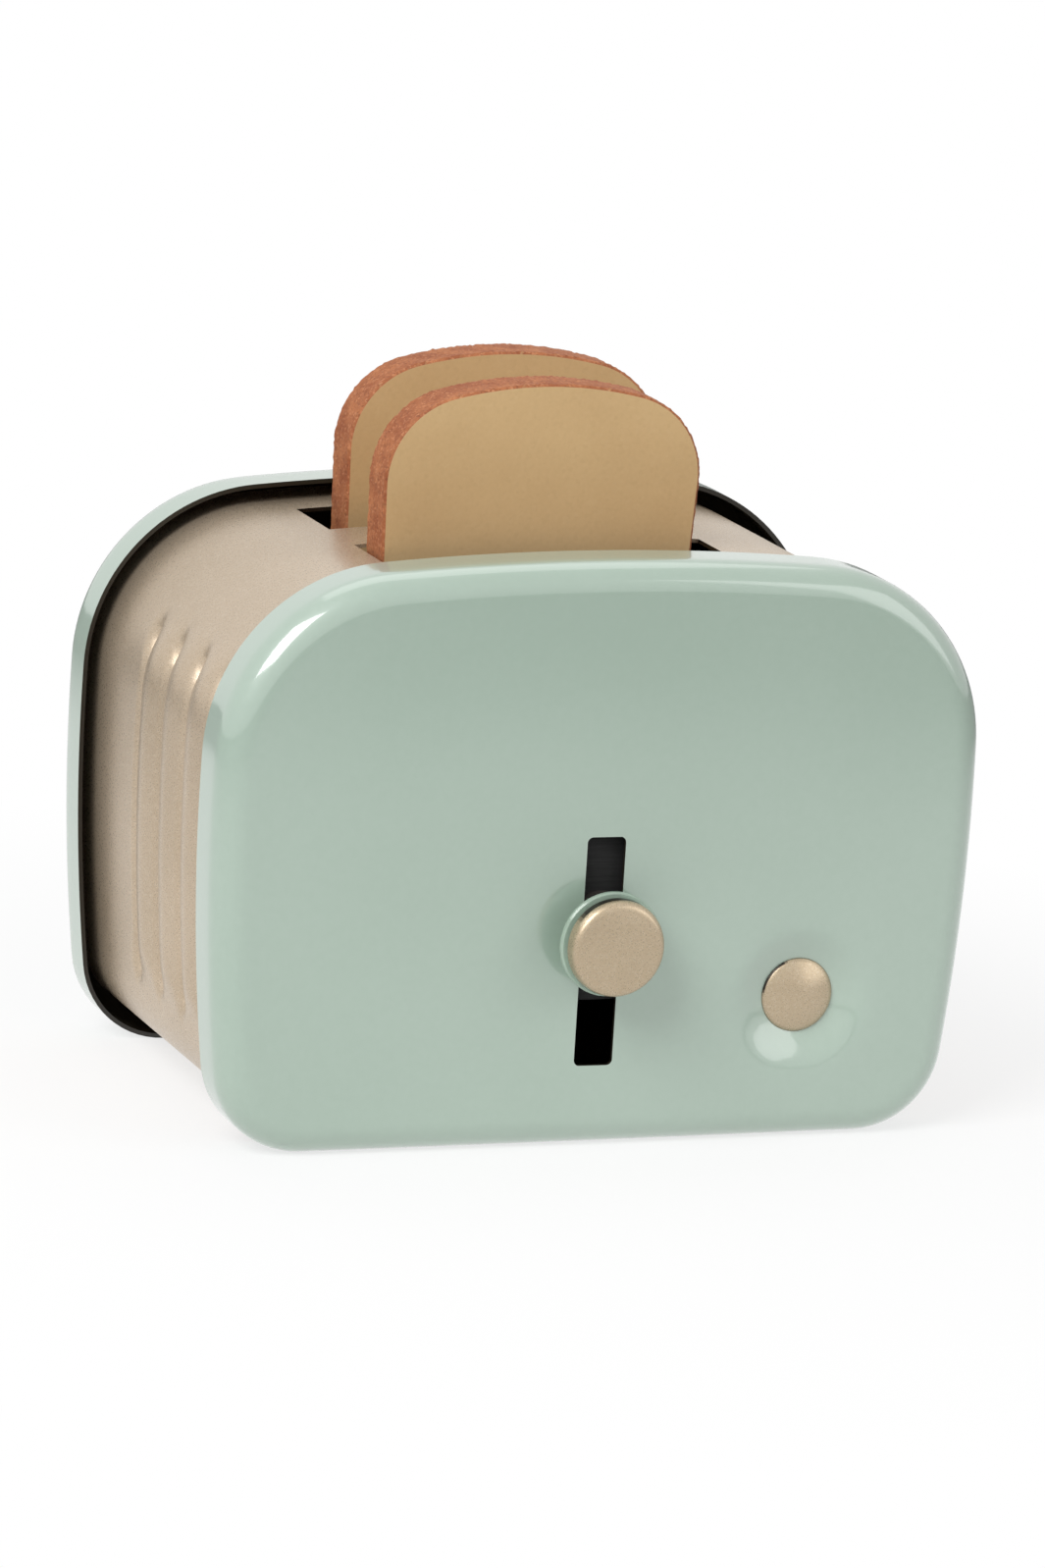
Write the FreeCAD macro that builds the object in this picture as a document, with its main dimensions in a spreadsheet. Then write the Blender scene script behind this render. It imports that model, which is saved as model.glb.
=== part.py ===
import FreeCAD, Part
import math
import os
import Sketcher
from FreeCAD import Placement, Rotation, Vector

# Toy toaster in pressed tinplate, at the scale of a dolls' house.
# X runs along the wide face, Y from the front face to the back, Z is up.
# Inside each sub-part, y = 0 is the front cover's outer face and z = 0 the
# level it stands on. The placements then centre the whole toaster on the origin.

doc = FreeCAD.newDocument("ToyToaster")

SIZES = [
    ("cover_width", 70.0, "widest part of a cover"),
    ("cover_height", 51.5, "base to the top of the arched cover"),
    ("toaster_depth", 46.0, "outer face to outer face of the covers"),
    ("cover_flange", 6.0, "depth of the drawn pan"),
    ("cover_edge", 2.6, "rounding between face and flange"),
    ("cover_sheet", 0.4, "tinplate of the covers"),
    ("side_radius", 190.0, "bulge of the cover's sides"),
    ("side_widest", 30.0, "height at which the cover is widest"),
    ("top_radius", 240.0, "arch of the cover's top"),
    ("shoulder_radius", 16.5, "top corners"),
    ("foot_radius", 8.0, "bottom corners"),
    ("band_inset", 1.8, "how far the band lies inside the covers' outline"),
    ("band_sheet", 0.35, "tinplate of the band"),
    ("band_seat", 0.6, "band edge to the cover's outer face"),
    ("tab_width", 6.0, "folded fixing tabs on the band's edges"),
    ("tab_reach", 2.8, "how far a tab folds inwards"),
    ("tab_gap", 0.07, "weld gap between tab and cover"),
    ("seam_lap", 3.0, "lap of the band's bottom seam"),
    ("seam_rivet_radius", 0.9, "flat head of a seam rivet"),
    ("seam_rivet_height", 0.35, "head above and below the seam"),
    ("seam_rivet_pitch", 18.0, "distance between the seam rivets"),
    ("flute_count", 4, "pressed flutes on each side"),
    ("flute_pitch", 6.27, "distance between flutes"),
    ("flute_shift", -3.3, "pattern centre from the band's middle"),
    ("flute_radius", 1.25, "nose of the pressing tool"),
    ("flute_depth", 0.7, "depth of a flute"),
    ("flute_bottom", 10.2, "centre of the lower end"),
    ("flute_top", 40.2, "centre of the upper end"),
    ("bread_slot_length", 32.2, "bread slot along X"),
    ("bread_slot_width", 9.0, "bread slot along Y"),
    ("bread_slot_offset", -0.9, "both slots' middle along X"),
    ("bread_slot_corner", 0.8, "corner radius of a bread slot"),
    ("bread_slot_pitch", 15.6, "distance between the bread slots"),
    ("bread_slot_shift", 1.3, "slot pair's centre from the band's middle"),
    ("lever_slot_width", 3.55, "slot in the front cover"),
    ("lever_slot_bottom", 7.35, "lower end of the lever slot"),
    ("lever_slot_top", 27.65, "upper end of the lever slot"),
    ("lever_slot_corner", 0.5, "corner radius of the lever slot"),
    ("knob_height", 18.8, "height of the knob at rest"),
    ("knob_radius", 4.5, "knob cap"),
    ("knob_thickness", 2.0, "knob cap"),
    ("knob_edge", 0.8, "rounding of the cap's front"),
    ("knob_crown", 0.35, "crown of the cap's face"),
    ("shank_radius", 1.5, "rivet shank of the knob"),
    ("washer_radius", 4.95, "clear washer behind the cap"),
    ("washer_thickness", 0.6, "clear washer"),
    ("spacer_radius", 2.6, "sleeve between washer and cover"),
    ("spacer_length", 2.0, "sleeve"),
    ("slide_gap", 0.05, "running clearance against flat faces"),
    ("bore_gap", 0.05, "radial clearance on the shank"),
    ("friction_radius", 3.9, "friction washer behind the cover"),
    ("friction_thickness", 0.5, "friction washer"),
    ("retainer_radius", 2.8, "washer under the upset end"),
    ("retainer_thickness", 0.3, "washer under the upset end"),
    ("peen_radius", 2.3, "upset end of the shank"),
    ("peen_thickness", 0.5, "upset end of the shank"),
    ("carriage_sheet", 0.5, "strip of the carriage"),
    ("carriage_width", 10.0, "plate behind the cover"),
    ("carriage_neck", 7.6, "arm that reaches under the bread"),
    ("carriage_bottom", 13.0, "lower edge of the plate at rest"),
    ("carriage_shoulder", 28.5, "where the plate narrows to the neck"),
    ("shelf_height", 33.0, "top of the arm at rest"),
    ("shelf_bend", 1.2, "outer radius of the carriage's bend"),
    ("shelf_overhang", 1.2, "arm beyond the rear cradle"),
    ("rail_sheet", 0.4, "strip of the guide rails"),
    ("rail_foot", 2.6, "welded foot of a rail"),
    ("rail_lip", 0.9, "lip over the carriage's edge"),
    ("rail_bottom", 6.0, "lower end of the rails"),
    ("rail_top", 36.0, "upper end of the rails"),
    ("rail_gap", 0.12, "clearance of the carriage in its rails"),
    ("cradle_sheet", 0.4, "bread cradle"),
    ("cradle_length", 22.0, "bread cradle along X"),
    ("cradle_wall", 4.5, "side wall of a cradle"),
    ("cradle_gap", 0.2, "clearance of a slice in its cradle"),
    ("cradle_rivet_radius", 0.8, "rivet under a cradle"),
    ("cradle_rivet_height", 0.3, "rivet heads"),
    ("cradle_rivet_pitch", 4.4, "two rivets per cradle, along X"),
    ("slice_width", 29.2, "toast slice"),
    ("slice_height", 30.9, "toast slice"),
    ("slice_thickness", 4.2, "toast slice"),
    ("slice_crown", 36.0, "radius of the loaf top"),
    ("slice_shoulder", 7.8, "rounded top corners"),
    ("slice_foot", 1.5, "rounded bottom corners"),
    ("slice_edge", 0.3, "broken edge of the slice"),
    ("slice_seat", 0.05, "slice above its cradle"),
    ("slice_set_back", 2.0, "slices and cradles stand behind the slots' middles"),
    ("slice_taper", 0.8, "each side draws in by this much from shoulder to foot"),
    ("front_slice_offset", -1.7, "front slice's middle along X"),
    ("rear_slice_offset", 0.4, "rear slice's middle along X"),
    ("button_place", 19.2, "button from the middle"),
    ("button_height", 12.7, "button's height"),
    ("button_radius", 3.2, "domed button"),
    ("button_dome", 1.2, "height of the dome"),
    ("button_sink", 0.4, "top of the dome behind the face"),
    ("button_gap", 0.1, "button in its hole"),
    ("button_travel", 1.0, "press of the button"),
    ("button_flange", 4.1, "stop flange behind the dish"),
    ("button_flange_thickness", 0.45, "stop flange"),
    ("button_stem", 1.2, "stem through the spring"),
    ("button_stem_end", 7.3, "end of the stem behind the face"),
    ("dish_radius", 5.7, "finger dish round the button"),
    ("dish_depth", 2.2, "finger dish"),
    ("dish_rim", 1.2, "rolled rim of the dish"),
    ("cup_radius", 6.1, "inside of the spring cup"),
    ("cup_sheet", 0.4, "spring cup"),
    ("cup_depth", 6.1, "cup floor behind the face"),
    ("cup_flange", 1.3, "welded rim of the cup"),
    ("spring_radius", 1.75, "mean radius of the return spring"),
    ("spring_wire", 0.3, "square spring wire"),
    ("spring_turns", 3, "turns of the spring"),
    ("spring_end_gap", 0.05, "spring to its seats"),
]

sheet = doc.addObject("Spreadsheet::Sheet", "Sizes")
sheet.set("A1", "size")
sheet.set("B1", "value")
sheet.set("C1", "what it measures")
for row, (name, value, note) in enumerate(SIZES, start=2):
    sheet.set("A%d" % row, name)
    sheet.set("B%d" % row, str(value))
    sheet.setAlias("B%d" % row, name)
    sheet.set("C%d" % row, note)
doc.recompute()


def size(name):
    """A driving size, read back from the sheet."""
    return float(getattr(sheet, name))


def cell(name):
    """The same size, as a term of an expression."""
    return "Sizes." + name


# Places that several pieces share, worked out from the driving sizes.
knob_reach = (size("slide_gap") + size("spacer_length") + size("washer_thickness")
              + size("knob_thickness") + size("knob_crown"))
face_shift = -(size("toaster_depth") - knob_reach) / 2
FACE_SHIFT = ("-(Sizes.toaster_depth - Sizes.slide_gap - Sizes.spacer_length"
              " - Sizes.washer_thickness - Sizes.knob_thickness - Sizes.knob_crown) / 2")
TO_FRAME = Placement(Vector(0, face_shift, 0), Rotation())
band_middle = size("toaster_depth") / 2
slot_centres = [band_middle + size("bread_slot_shift") + side * size("bread_slot_pitch") / 2
                for side in (-1, 1)]
slice_centres = [centre + size("slice_set_back") for centre in slot_centres]
carriage_front = size("cover_sheet") + 2 * size("slide_gap") + size("friction_thickness")
carriage_back = carriage_front + size("carriage_sheet")
cradle_floor = size("shelf_height") + size("cradle_sheet")
slice_bottom = cradle_floor + size("slice_seat")


# Helpers for sketches and features

def new_body(label):
    body = doc.addObject("PartDesign::Body", label)
    body.Label = label
    body.setExpression("Placement.Base.y", FACE_SHIFT)
    return body


def origin_plane(body, role):
    return next(item for item in body.Origin.OriginFeatures if item.Role == role)


def new_sketch(body, name, role, offset=None):
    """A sketch on one of the body's planes, moved along its normal by an expression."""
    sketch = body.newObject("Sketcher::SketchObject", name)
    sketch.AttachmentSupport = (origin_plane(body, role), [""])
    sketch.MapMode = "FlatFace"
    if offset:
        sketch.setExpression("AttachmentOffset.Base.z", offset)
    return sketch


def driven(sketch, constraint, expression):
    """Add a constraint whose value follows the sheet."""
    index = sketch.addConstraint(constraint)
    sketch.setExpression("Constraints[%d]" % index, expression)
    return index


def add_rectangle(sketch, low, high):
    """Rectangle between two corners, each corner given as a pair of (value, expression)."""
    (x0, ex0), (y0, ey0) = low
    (x1, ex1), (y1, ey1) = high
    corners = [Vector(x0, y0), Vector(x1, y0), Vector(x1, y1), Vector(x0, y1)]
    lines = [sketch.addGeometry(Part.LineSegment(corners[i], corners[(i + 1) % 4])) for i in range(4)]
    for i in range(4):
        sketch.addConstraint(Sketcher.Constraint("Coincident", lines[i], 2, lines[(i + 1) % 4], 1))
    for i in (0, 2):
        sketch.addConstraint(Sketcher.Constraint("Horizontal", lines[i]))
        sketch.addConstraint(Sketcher.Constraint("Vertical", lines[i + 1]))
    driven(sketch, Sketcher.Constraint("DistanceX", -1, 1, lines[0], 1, x0), ex0)
    driven(sketch, Sketcher.Constraint("DistanceY", -1, 1, lines[0], 1, y0), ey0)
    driven(sketch, Sketcher.Constraint("DistanceX", -1, 1, lines[2], 1, x1), ex1)
    driven(sketch, Sketcher.Constraint("DistanceY", -1, 1, lines[2], 1, y1), ey1)
    return lines


def add_circle(sketch, centre, radius):
    """Circle with its centre and radius each given as (value, expression)."""
    (x, ex), (y, ey) = centre
    value, expression = radius
    index = sketch.addGeometry(Part.Circle(Vector(x, y), Vector(0, 0, 1), value))
    driven(sketch, Sketcher.Constraint("Radius", index, value), expression)
    driven(sketch, Sketcher.Constraint("DistanceX", -1, 1, index, 3, x), ex)
    driven(sketch, Sketcher.Constraint("DistanceY", -1, 1, index, 3, y), ey)
    return index


def pad(body, sketch, length, backwards=False):
    feature = body.newObject("PartDesign::Pad", sketch.Name + "_pad")
    feature.Profile = sketch
    feature.setExpression("Length", length)
    feature.Reversed = backwards
    return feature


def pocket(body, sketch, length, backwards=False):
    """Cut along a sketch. The volume has to fall, or the cut missed the solid."""
    doc.recompute()
    before = body.Shape.Volume
    feature = body.newObject("PartDesign::Pocket", sketch.Name + "_cut")
    feature.Profile = sketch
    feature.setExpression("Length", length)
    feature.Reversed = backwards
    doc.recompute()
    if not body.Shape.Volume < before - 1e-6:
        raise RuntimeError(feature.Name + " cuts nothing")
    return feature


def fillet(body, base, radius, pick):
    """Fillet the edges of a feature that the test picks."""
    doc.recompute()
    names = ["Edge%d" % (i + 1) for i, edge in enumerate(base.Shape.Edges) if pick(edge)]
    if not names:
        raise RuntimeError("no edges to round on " + base.Name)
    feature = body.newObject("PartDesign::Fillet", base.Name + "_round")
    feature.Base = (base, names)
    feature.setExpression("Radius", radius)
    body.Tip = feature
    return feature


def chamfer(body, base, width, pick):
    """Break the edges of a feature that the test picks."""
    doc.recompute()
    names = ["Edge%d" % (i + 1) for i, edge in enumerate(base.Shape.Edges) if pick(edge)]
    feature = body.newObject("PartDesign::Chamfer", base.Name + "_break")
    feature.Base = (base, names)
    feature.setExpression("Size", width)
    body.Tip = feature
    return feature


def at_level(axis, value, test=None):
    """Edges that lie in a plane across X, Y or Z."""
    def pick(edge):
        box = edge.BoundBox
        low, high = [(box.XMin, box.XMax), (box.YMin, box.YMax), (box.ZMin, box.ZMax)][axis]
        flat = abs(low - value) < 1e-4 and abs(high - value) < 1e-4
        return flat and (test is None or test(edge))
    return pick


# The toaster's outline: flat base, rounded feet, bulged sides, round shoulders, arched top.

def outline_arcs(inset):
    """Centre, radius and end angles of the outline's arcs on the right, from base to top.

    Each arc is tangent to its neighbours, so a corner's centre lies where circles
    about the side's and the top's centres meet.
    """
    side_centre = Vector(size("cover_width") / 2 - size("side_radius"), size("side_widest"))
    top_centre = Vector(0, size("cover_height") - size("top_radius"))
    foot_z = size("foot_radius")
    foot_reach = size("side_radius") - size("foot_radius")
    foot_x = side_centre.x + math.sqrt(foot_reach ** 2 - (foot_z - side_centre.y) ** 2)
    foot_centre = Vector(foot_x, foot_z)
    side_reach = size("side_radius") - size("shoulder_radius")
    top_reach = size("top_radius") - size("shoulder_radius")
    between = top_centre - side_centre
    along = (side_reach ** 2 - top_reach ** 2 + between.Length ** 2) / (2 * between.Length)
    across = math.sqrt(side_reach ** 2 - along ** 2)
    unit = Vector(between).normalize()
    shoulder_centre = side_centre + unit * along + Vector(-unit.y, unit.x) * across
    if shoulder_centre.x < 0:
        shoulder_centre = side_centre + unit * along - Vector(-unit.y, unit.x) * across
    foot_turn = math.atan2(foot_centre.y - side_centre.y, foot_centre.x - side_centre.x)
    side_turn = math.atan2(shoulder_centre.y - side_centre.y, shoulder_centre.x - side_centre.x)
    top_turn = math.atan2(shoulder_centre.y - top_centre.y, shoulder_centre.x - top_centre.x)
    return [
        (foot_centre, size("foot_radius") - inset, -math.pi / 2, foot_turn),
        (side_centre, size("side_radius") - inset, foot_turn, side_turn),
        (shoulder_centre, size("shoulder_radius") - inset, side_turn, top_turn),
        (top_centre, size("top_radius") - inset, top_turn, math.pi - top_turn),
    ]


def add_outline(sketch, inset, inset_expression):
    """Draw the closed outline, moved inwards by the inset, with tangent arcs."""
    right = outline_arcs(inset)
    left = [(Vector(-centre.x, centre.y), radius, math.pi - end, math.pi - start)
            for centre, radius, start, end in reversed(right[:3])]
    arcs = []
    for centre, radius, start, end in right + left:
        circle = Part.Circle(centre, Vector(0, 0, 1), radius)
        arcs.append(sketch.addGeometry(Part.ArcOfCircle(circle, start, end)))
    foot_x = right[0][0].x
    base = sketch.addGeometry(Part.LineSegment(Vector(-foot_x, inset), Vector(foot_x, inset)))
    loop = arcs + [base]
    for here, after in zip(loop, loop[1:] + loop[:1]):
        sketch.addConstraint(Sketcher.Constraint("Tangent", here, 2, after, 1))
    names = ["foot_radius", "side_radius", "shoulder_radius", "top_radius",
             "shoulder_radius", "side_radius", "foot_radius"]
    for arc, name in zip(arcs, names):
        expression = "%s - (%s)" % (cell(name), inset_expression)
        driven(sketch, Sketcher.Constraint("Radius", arc, size(name) - inset), expression)
    side_x = size("cover_width") / 2 - size("side_radius")
    side_z = size("side_widest")
    for arc, sign in ((arcs[1], 1), (arcs[5], -1)):
        driven(sketch, Sketcher.Constraint("DistanceX", -1, 1, arc, 3, sign * side_x),
               "%d * (Sizes.cover_width / 2 - Sizes.side_radius)" % sign)
        driven(sketch, Sketcher.Constraint("DistanceY", -1, 1, arc, 3, side_z), cell("side_widest"))
    sketch.addConstraint(Sketcher.Constraint("PointOnObject", arcs[3], 3, -2))
    driven(sketch, Sketcher.Constraint("DistanceY", -1, 1, arcs[3], 3, size("cover_height") - size("top_radius")),
           "Sizes.cover_height - Sizes.top_radius")
    sketch.addConstraint(Sketcher.Constraint("Horizontal", base))
    driven(sketch, Sketcher.Constraint("DistanceY", -1, 1, base, 1, inset), inset_expression)


# Covers: deep-drawn pans with a rounded edge, open towards the band

def cover_pan(label, face_y, face_expression, inwards):
    """A drawn pan whose outer face is at face_y. inwards is +1 or -1 along Y."""
    body = new_body(label)
    outer = new_sketch(body, label + "_outline", "XZ_Plane", "-(%s)" % face_expression)
    add_outline(outer, 0.0, "0")
    solid = pad(body, outer, cell("cover_flange"), backwards=inwards > 0)
    rounded = fillet(body, solid, cell("cover_edge"), at_level(1, face_y))
    doc.recompute()
    rim_y = face_y + inwards * size("cover_flange")
    mouth = ["Face%d" % (i + 1) for i, face in enumerate(rounded.Shape.Faces)
             if abs(face.BoundBox.YMin - rim_y) < 1e-4 and abs(face.BoundBox.YMax - rim_y) < 1e-4]
    shell = body.newObject("PartDesign::Thickness", label + "_shell")
    shell.Base = (rounded, mouth)
    shell.setExpression("Value", cell("cover_sheet"))
    shell.Reversed = True
    body.Tip = shell
    doc.recompute()
    return body


def dish_profile(sketch, radius, radius_expression, start, start_expression):
    """Half of a shallow bowl about the button's axis, from a level y = start to its deepest point."""
    ball = (size("dish_radius") ** 2 + size("dish_depth") ** 2) / (2 * size("dish_depth"))
    centre_y = size("dish_depth") - ball
    axis_z = size("button_height")
    reach = math.sqrt(radius ** 2 - (start - centre_y) ** 2)
    deepest = centre_y + radius
    turn = math.atan2(reach, start - centre_y)
    circle = Part.Circle(Vector(centre_y, axis_z), Vector(0, 0, 1), radius)
    arc = sketch.addGeometry(Part.ArcOfCircle(circle, 0, turn))
    down = sketch.addGeometry(Part.LineSegment(Vector(start, axis_z + reach), Vector(start, axis_z)))
    axis = sketch.addGeometry(Part.LineSegment(Vector(start, axis_z), Vector(deepest, axis_z)))
    sketch.addConstraint(Sketcher.Constraint("Coincident", arc, 2, down, 1))
    sketch.addConstraint(Sketcher.Constraint("Coincident", down, 2, axis, 1))
    sketch.addConstraint(Sketcher.Constraint("Coincident", axis, 2, arc, 1))
    sketch.addConstraint(Sketcher.Constraint("Vertical", down))
    sketch.addConstraint(Sketcher.Constraint("Horizontal", axis))
    sketch.addConstraint(Sketcher.Constraint("PointOnObject", arc, 3, axis))
    ball_expression = "(Sizes.dish_radius ^ 2 + Sizes.dish_depth ^ 2) / (2 * Sizes.dish_depth)"
    driven(sketch, Sketcher.Constraint("Radius", arc, radius), ball_expression + radius_expression)
    driven(sketch, Sketcher.Constraint("DistanceX", -1, 1, arc, 3, centre_y),
           "Sizes.dish_depth - " + ball_expression)
    driven(sketch, Sketcher.Constraint("DistanceY", -1, 1, axis, 1, axis_z), cell("button_height"))
    driven(sketch, Sketcher.Constraint("DistanceX", -1, 1, down, 1, start), start_expression)
    return axis


def turned(body, sketch, kind, axis):
    """Revolve or groove a profile about one of its own lines."""
    feature = body.newObject("PartDesign::" + kind, sketch.Name + "_" + kind.lower())
    feature.Profile = sketch
    feature.ReferenceAxis = (sketch, ["Edge%d" % (axis + 1)])
    feature.Angle = 360
    return feature


def front_cover():
    body = cover_pan("front_cover", 0.0, "0", 1)
    ball = (size("dish_radius") ** 2 + size("dish_depth") ** 2) / (2 * size("dish_depth"))
    bump = new_sketch(body, "dish_back", "YZ_Plane", cell("button_place"))
    axis = dish_profile(bump, ball + size("cover_sheet"), " + Sizes.cover_sheet",
                        size("cover_sheet") / 2, "Sizes.cover_sheet / 2")
    turned(body, bump, "Revolution", axis)
    doc.recompute()
    bowl = new_sketch(body, "dish_front", "YZ_Plane", cell("button_place"))
    axis = dish_profile(bowl, ball, "", -size("cover_sheet"), "-Sizes.cover_sheet")
    before = body.Shape.Volume
    dish = turned(body, bowl, "Groove", axis)
    doc.recompute()
    if not body.Shape.Volume < before:
        raise RuntimeError("the dish cuts nothing")
    near_dish = lambda edge: edge.BoundBox.Center.distanceToPoint(
        Vector(size("button_place"), 0, size("button_height"))) < 0.5
    rim = fillet(body, dish, cell("dish_rim"), at_level(1, 0.0, near_dish))
    doc.recompute()

    slot = new_sketch(body, "lever_slot", "XZ_Plane")
    half = size("lever_slot_width") / 2
    add_rectangle(slot, ((-half, "-Sizes.lever_slot_width / 2"),
                         (size("lever_slot_bottom"), cell("lever_slot_bottom"))),
                  ((half, "Sizes.lever_slot_width / 2"), (size("lever_slot_top"), cell("lever_slot_top"))))
    cut = pocket(body, slot, "2 * Sizes.cover_sheet")
    corner = lambda edge: (abs(abs(edge.BoundBox.Center.x) - half) < 1e-4
                           and abs(edge.BoundBox.YLength - size("cover_sheet")) < 1e-3
                           and edge.BoundBox.XLength < 1e-4 and edge.BoundBox.ZLength < 1e-4)
    fillet(body, cut, cell("lever_slot_corner"), corner)

    hole = new_sketch(body, "button_hole", "XZ_Plane")
    add_circle(hole, ((size("button_place"), cell("button_place")),
                      (size("button_height"), cell("button_height"))),
               (size("button_radius") + size("button_gap"), "Sizes.button_radius + Sizes.button_gap"))
    pocket(body, hole, "Sizes.dish_depth + 2 * Sizes.cover_sheet")
    return body


def rear_cover():
    return cover_pan("rear_cover", size("toaster_depth"), cell("toaster_depth"), -1)


front_cover()
rear_cover()


# Band: one strip of tinplate wrapped round the toaster, with pressed flutes on both sides

def band_blank():
    """The wrapped strip with its two bread slots, before the flutes are pressed."""
    body = new_body("band_blank")
    wrap = new_sketch(body, "band_wrap", "XZ_Plane", "-Sizes.band_seat")
    inner = size("band_inset") + size("band_sheet")
    add_outline(wrap, size("band_inset"), cell("band_inset"))
    add_outline(wrap, inner, "Sizes.band_inset + Sizes.band_sheet")
    pad(body, wrap, "Sizes.toaster_depth - 2 * Sizes.band_seat", backwards=True)
    slots = new_sketch(body, "bread_slots", "XY_Plane", cell("cover_height"))
    half = size("bread_slot_length") / 2
    off = size("bread_slot_offset")
    reach = size("bread_slot_width") / 2
    centre_expression = "Sizes.toaster_depth / 2 + Sizes.bread_slot_shift + %d * Sizes.bread_slot_pitch / 2"
    for centre, side in zip(slot_centres, (-1, 1)):
        middle = centre_expression % side
        add_rectangle(slots, ((off - half, "Sizes.bread_slot_offset - Sizes.bread_slot_length / 2"),
                              (centre - reach, middle + " - Sizes.bread_slot_width / 2")),
                      ((off + half, "Sizes.bread_slot_offset + Sizes.bread_slot_length / 2"),
                       (centre + reach, middle + " + Sizes.bread_slot_width / 2")))
    cut = pocket(body, slots, "Sizes.band_inset + Sizes.foot_radius")
    corner = lambda edge: (abs(abs(edge.BoundBox.Center.x - off) - half) < 1e-4
                           and edge.BoundBox.XLength < 1e-4 and edge.BoundBox.YLength < 1e-4)
    fillet(body, cut, cell("bread_slot_corner"), corner)
    doc.recompute()
    return body


def flute_tool(y, radius):
    """A long round-ended tool that follows the curve of the right side at one y."""
    side_x = size("cover_width") / 2 - size("side_radius")
    surface = size("side_radius") - size("band_inset")
    ring = surface + size("flute_radius") - size("flute_depth")
    low = math.asin((size("flute_bottom") - size("side_widest")) / ring)
    high = math.asin((size("flute_top") - size("side_widest")) / ring)
    centre = Vector(side_x, y, size("side_widest"))
    start = centre + Vector(math.cos(low), 0, math.sin(low)) * ring
    nose = Part.Wire(Part.Circle(start, Vector(-math.sin(low), 0, math.cos(low)), radius).toShape())
    bar = Part.Face(nose).revolve(centre, Vector(0, -1, 0), math.degrees(high - low))
    ends = [Part.makeSphere(radius, centre + Vector(math.cos(turn), 0, math.sin(turn)) * ring)
            for turn in (low, high)]
    return bar.fuse(ends).removeSplitter()


def flute_places():
    middle = band_middle + size("flute_shift")
    count = int(size("flute_count"))
    return [middle + (i - (count - 1) / 2) * size("flute_pitch") for i in range(count)]


def both_sides(shapes):
    mirrored = [shape.mirror(Vector(0, 0, 0), Vector(1, 0, 0)) for shape in shapes]
    return shapes + mirrored


def outline_solid(inset, y0, y1):
    """The space inside the outline at an inset, between two levels of y."""
    right = outline_arcs(inset)
    edges = []
    for centre, radius, start, end in right:
        circle = Part.Circle(Vector(centre.x, 0, centre.y), Vector(0, -1, 0), radius)
        circle.XAxis = Vector(1, 0, 0)
        edges.append(Part.Arc(circle, start, end).toShape())
    for centre, radius, start, end in reversed(right[:3]):
        circle = Part.Circle(Vector(-centre.x, 0, centre.y), Vector(0, -1, 0), radius)
        circle.XAxis = Vector(1, 0, 0)
        edges.append(Part.Arc(circle, math.pi - end, math.pi - start).toShape())
    foot_x = right[0][0].x
    edges.append(Part.LineSegment(Vector(-foot_x, 0, inset), Vector(foot_x, 0, inset)).toShape())
    face = Part.Face(Part.Wire(Part.__sortEdges__(edges)))
    solid = face.extrude(Vector(0, y1 - y0, 0))
    solid.translate(Vector(0, y0, 0))
    return solid


def band_tabs():
    """Tabs folded inwards off both edges of the band, flat against the covers."""
    outer = outline_solid(size("band_inset") + size("band_sheet") / 2, 0, size("toaster_depth"))
    inner = outline_solid(size("band_inset") + size("tab_reach"), 0, size("toaster_depth"))
    ring = outer.cut(inner)
    half = size("tab_width") / 2
    width, height = size("cover_width"), size("cover_height")
    front = size("cover_sheet") + size("tab_gap")
    back = size("toaster_depth") - front - size("band_sheet")
    tabs = []
    for y in (front, back):
        for x in (-width / 4, width / 4):
            tabs.append(Part.makeBox(2 * half, size("band_sheet"), height, Vector(x - half, y, 0)))
        middle = size("side_widest")
        tabs.append(Part.makeBox(width, size("band_sheet"), 2 * half, Vector(-width / 2, y, middle - half)))
    return [tab.common(ring) for tab in tabs]


def band_seam():
    """The lap of the seam: a second thickness of strip inside the middle of the base."""
    start = size("band_seat")
    length = size("toaster_depth") - 2 * start
    floor = size("band_inset") + size("band_sheet") / 2
    return Part.makeBox(size("seam_lap"), length, 1.5 * size("band_sheet"),
                        Vector(-size("seam_lap") / 2, start, floor))


def add_shape(label, shape):
    """A sub-part whose form neither a sketch feature nor a primitive gives."""
    item = doc.addObject("Part::Feature", label)
    item.Label = label
    item.Shape = shape
    item.Placement = TO_FRAME.multiply(shape.Placement)
    return item


def body_band():
    blank = band_blank()
    local = blank.Shape.copy()
    local.Placement = Placement()
    ridges = both_sides([flute_tool(y, size("flute_radius") + size("band_sheet")) for y in flute_places()])
    grooves = both_sides([flute_tool(y, size("flute_radius")) for y in flute_places()])
    inside = outline_solid(size("band_inset") + size("band_sheet") / 2, 0, size("toaster_depth"))
    pressed = local.fuse([ridge.common(inside) for ridge in ridges])
    pressed = pressed.fuse(band_tabs() + [band_seam()])
    pressed = pressed.cut(grooves)
    rivet_holes = [Part.makeCylinder(size("seam_rivet_radius") / 2, 4 * size("band_sheet"),
                                     Vector(0, y, size("band_inset") - size("band_sheet")))
                   for y in seam_rivet_places()]
    return add_shape("body_band", pressed.cut(rivet_holes).removeSplitter())


def seam_rivet_places():
    return [band_middle + side * size("seam_rivet_pitch") / 2 for side in (-1, 1)]


def flat_rivet(x, y, low, high, head_radius, head_height):
    """A rivet standing upright: two flat heads that clamp what lies between low and high."""
    shank = Part.makeCylinder(head_radius / 2, high - low + 2 * head_height, Vector(x, y, low - head_height))
    heads = [Part.makeCylinder(head_radius, head_height, Vector(x, y, z))
             for z in (low - head_height, high)]
    return shank.fuse(heads).removeSplitter()


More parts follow.
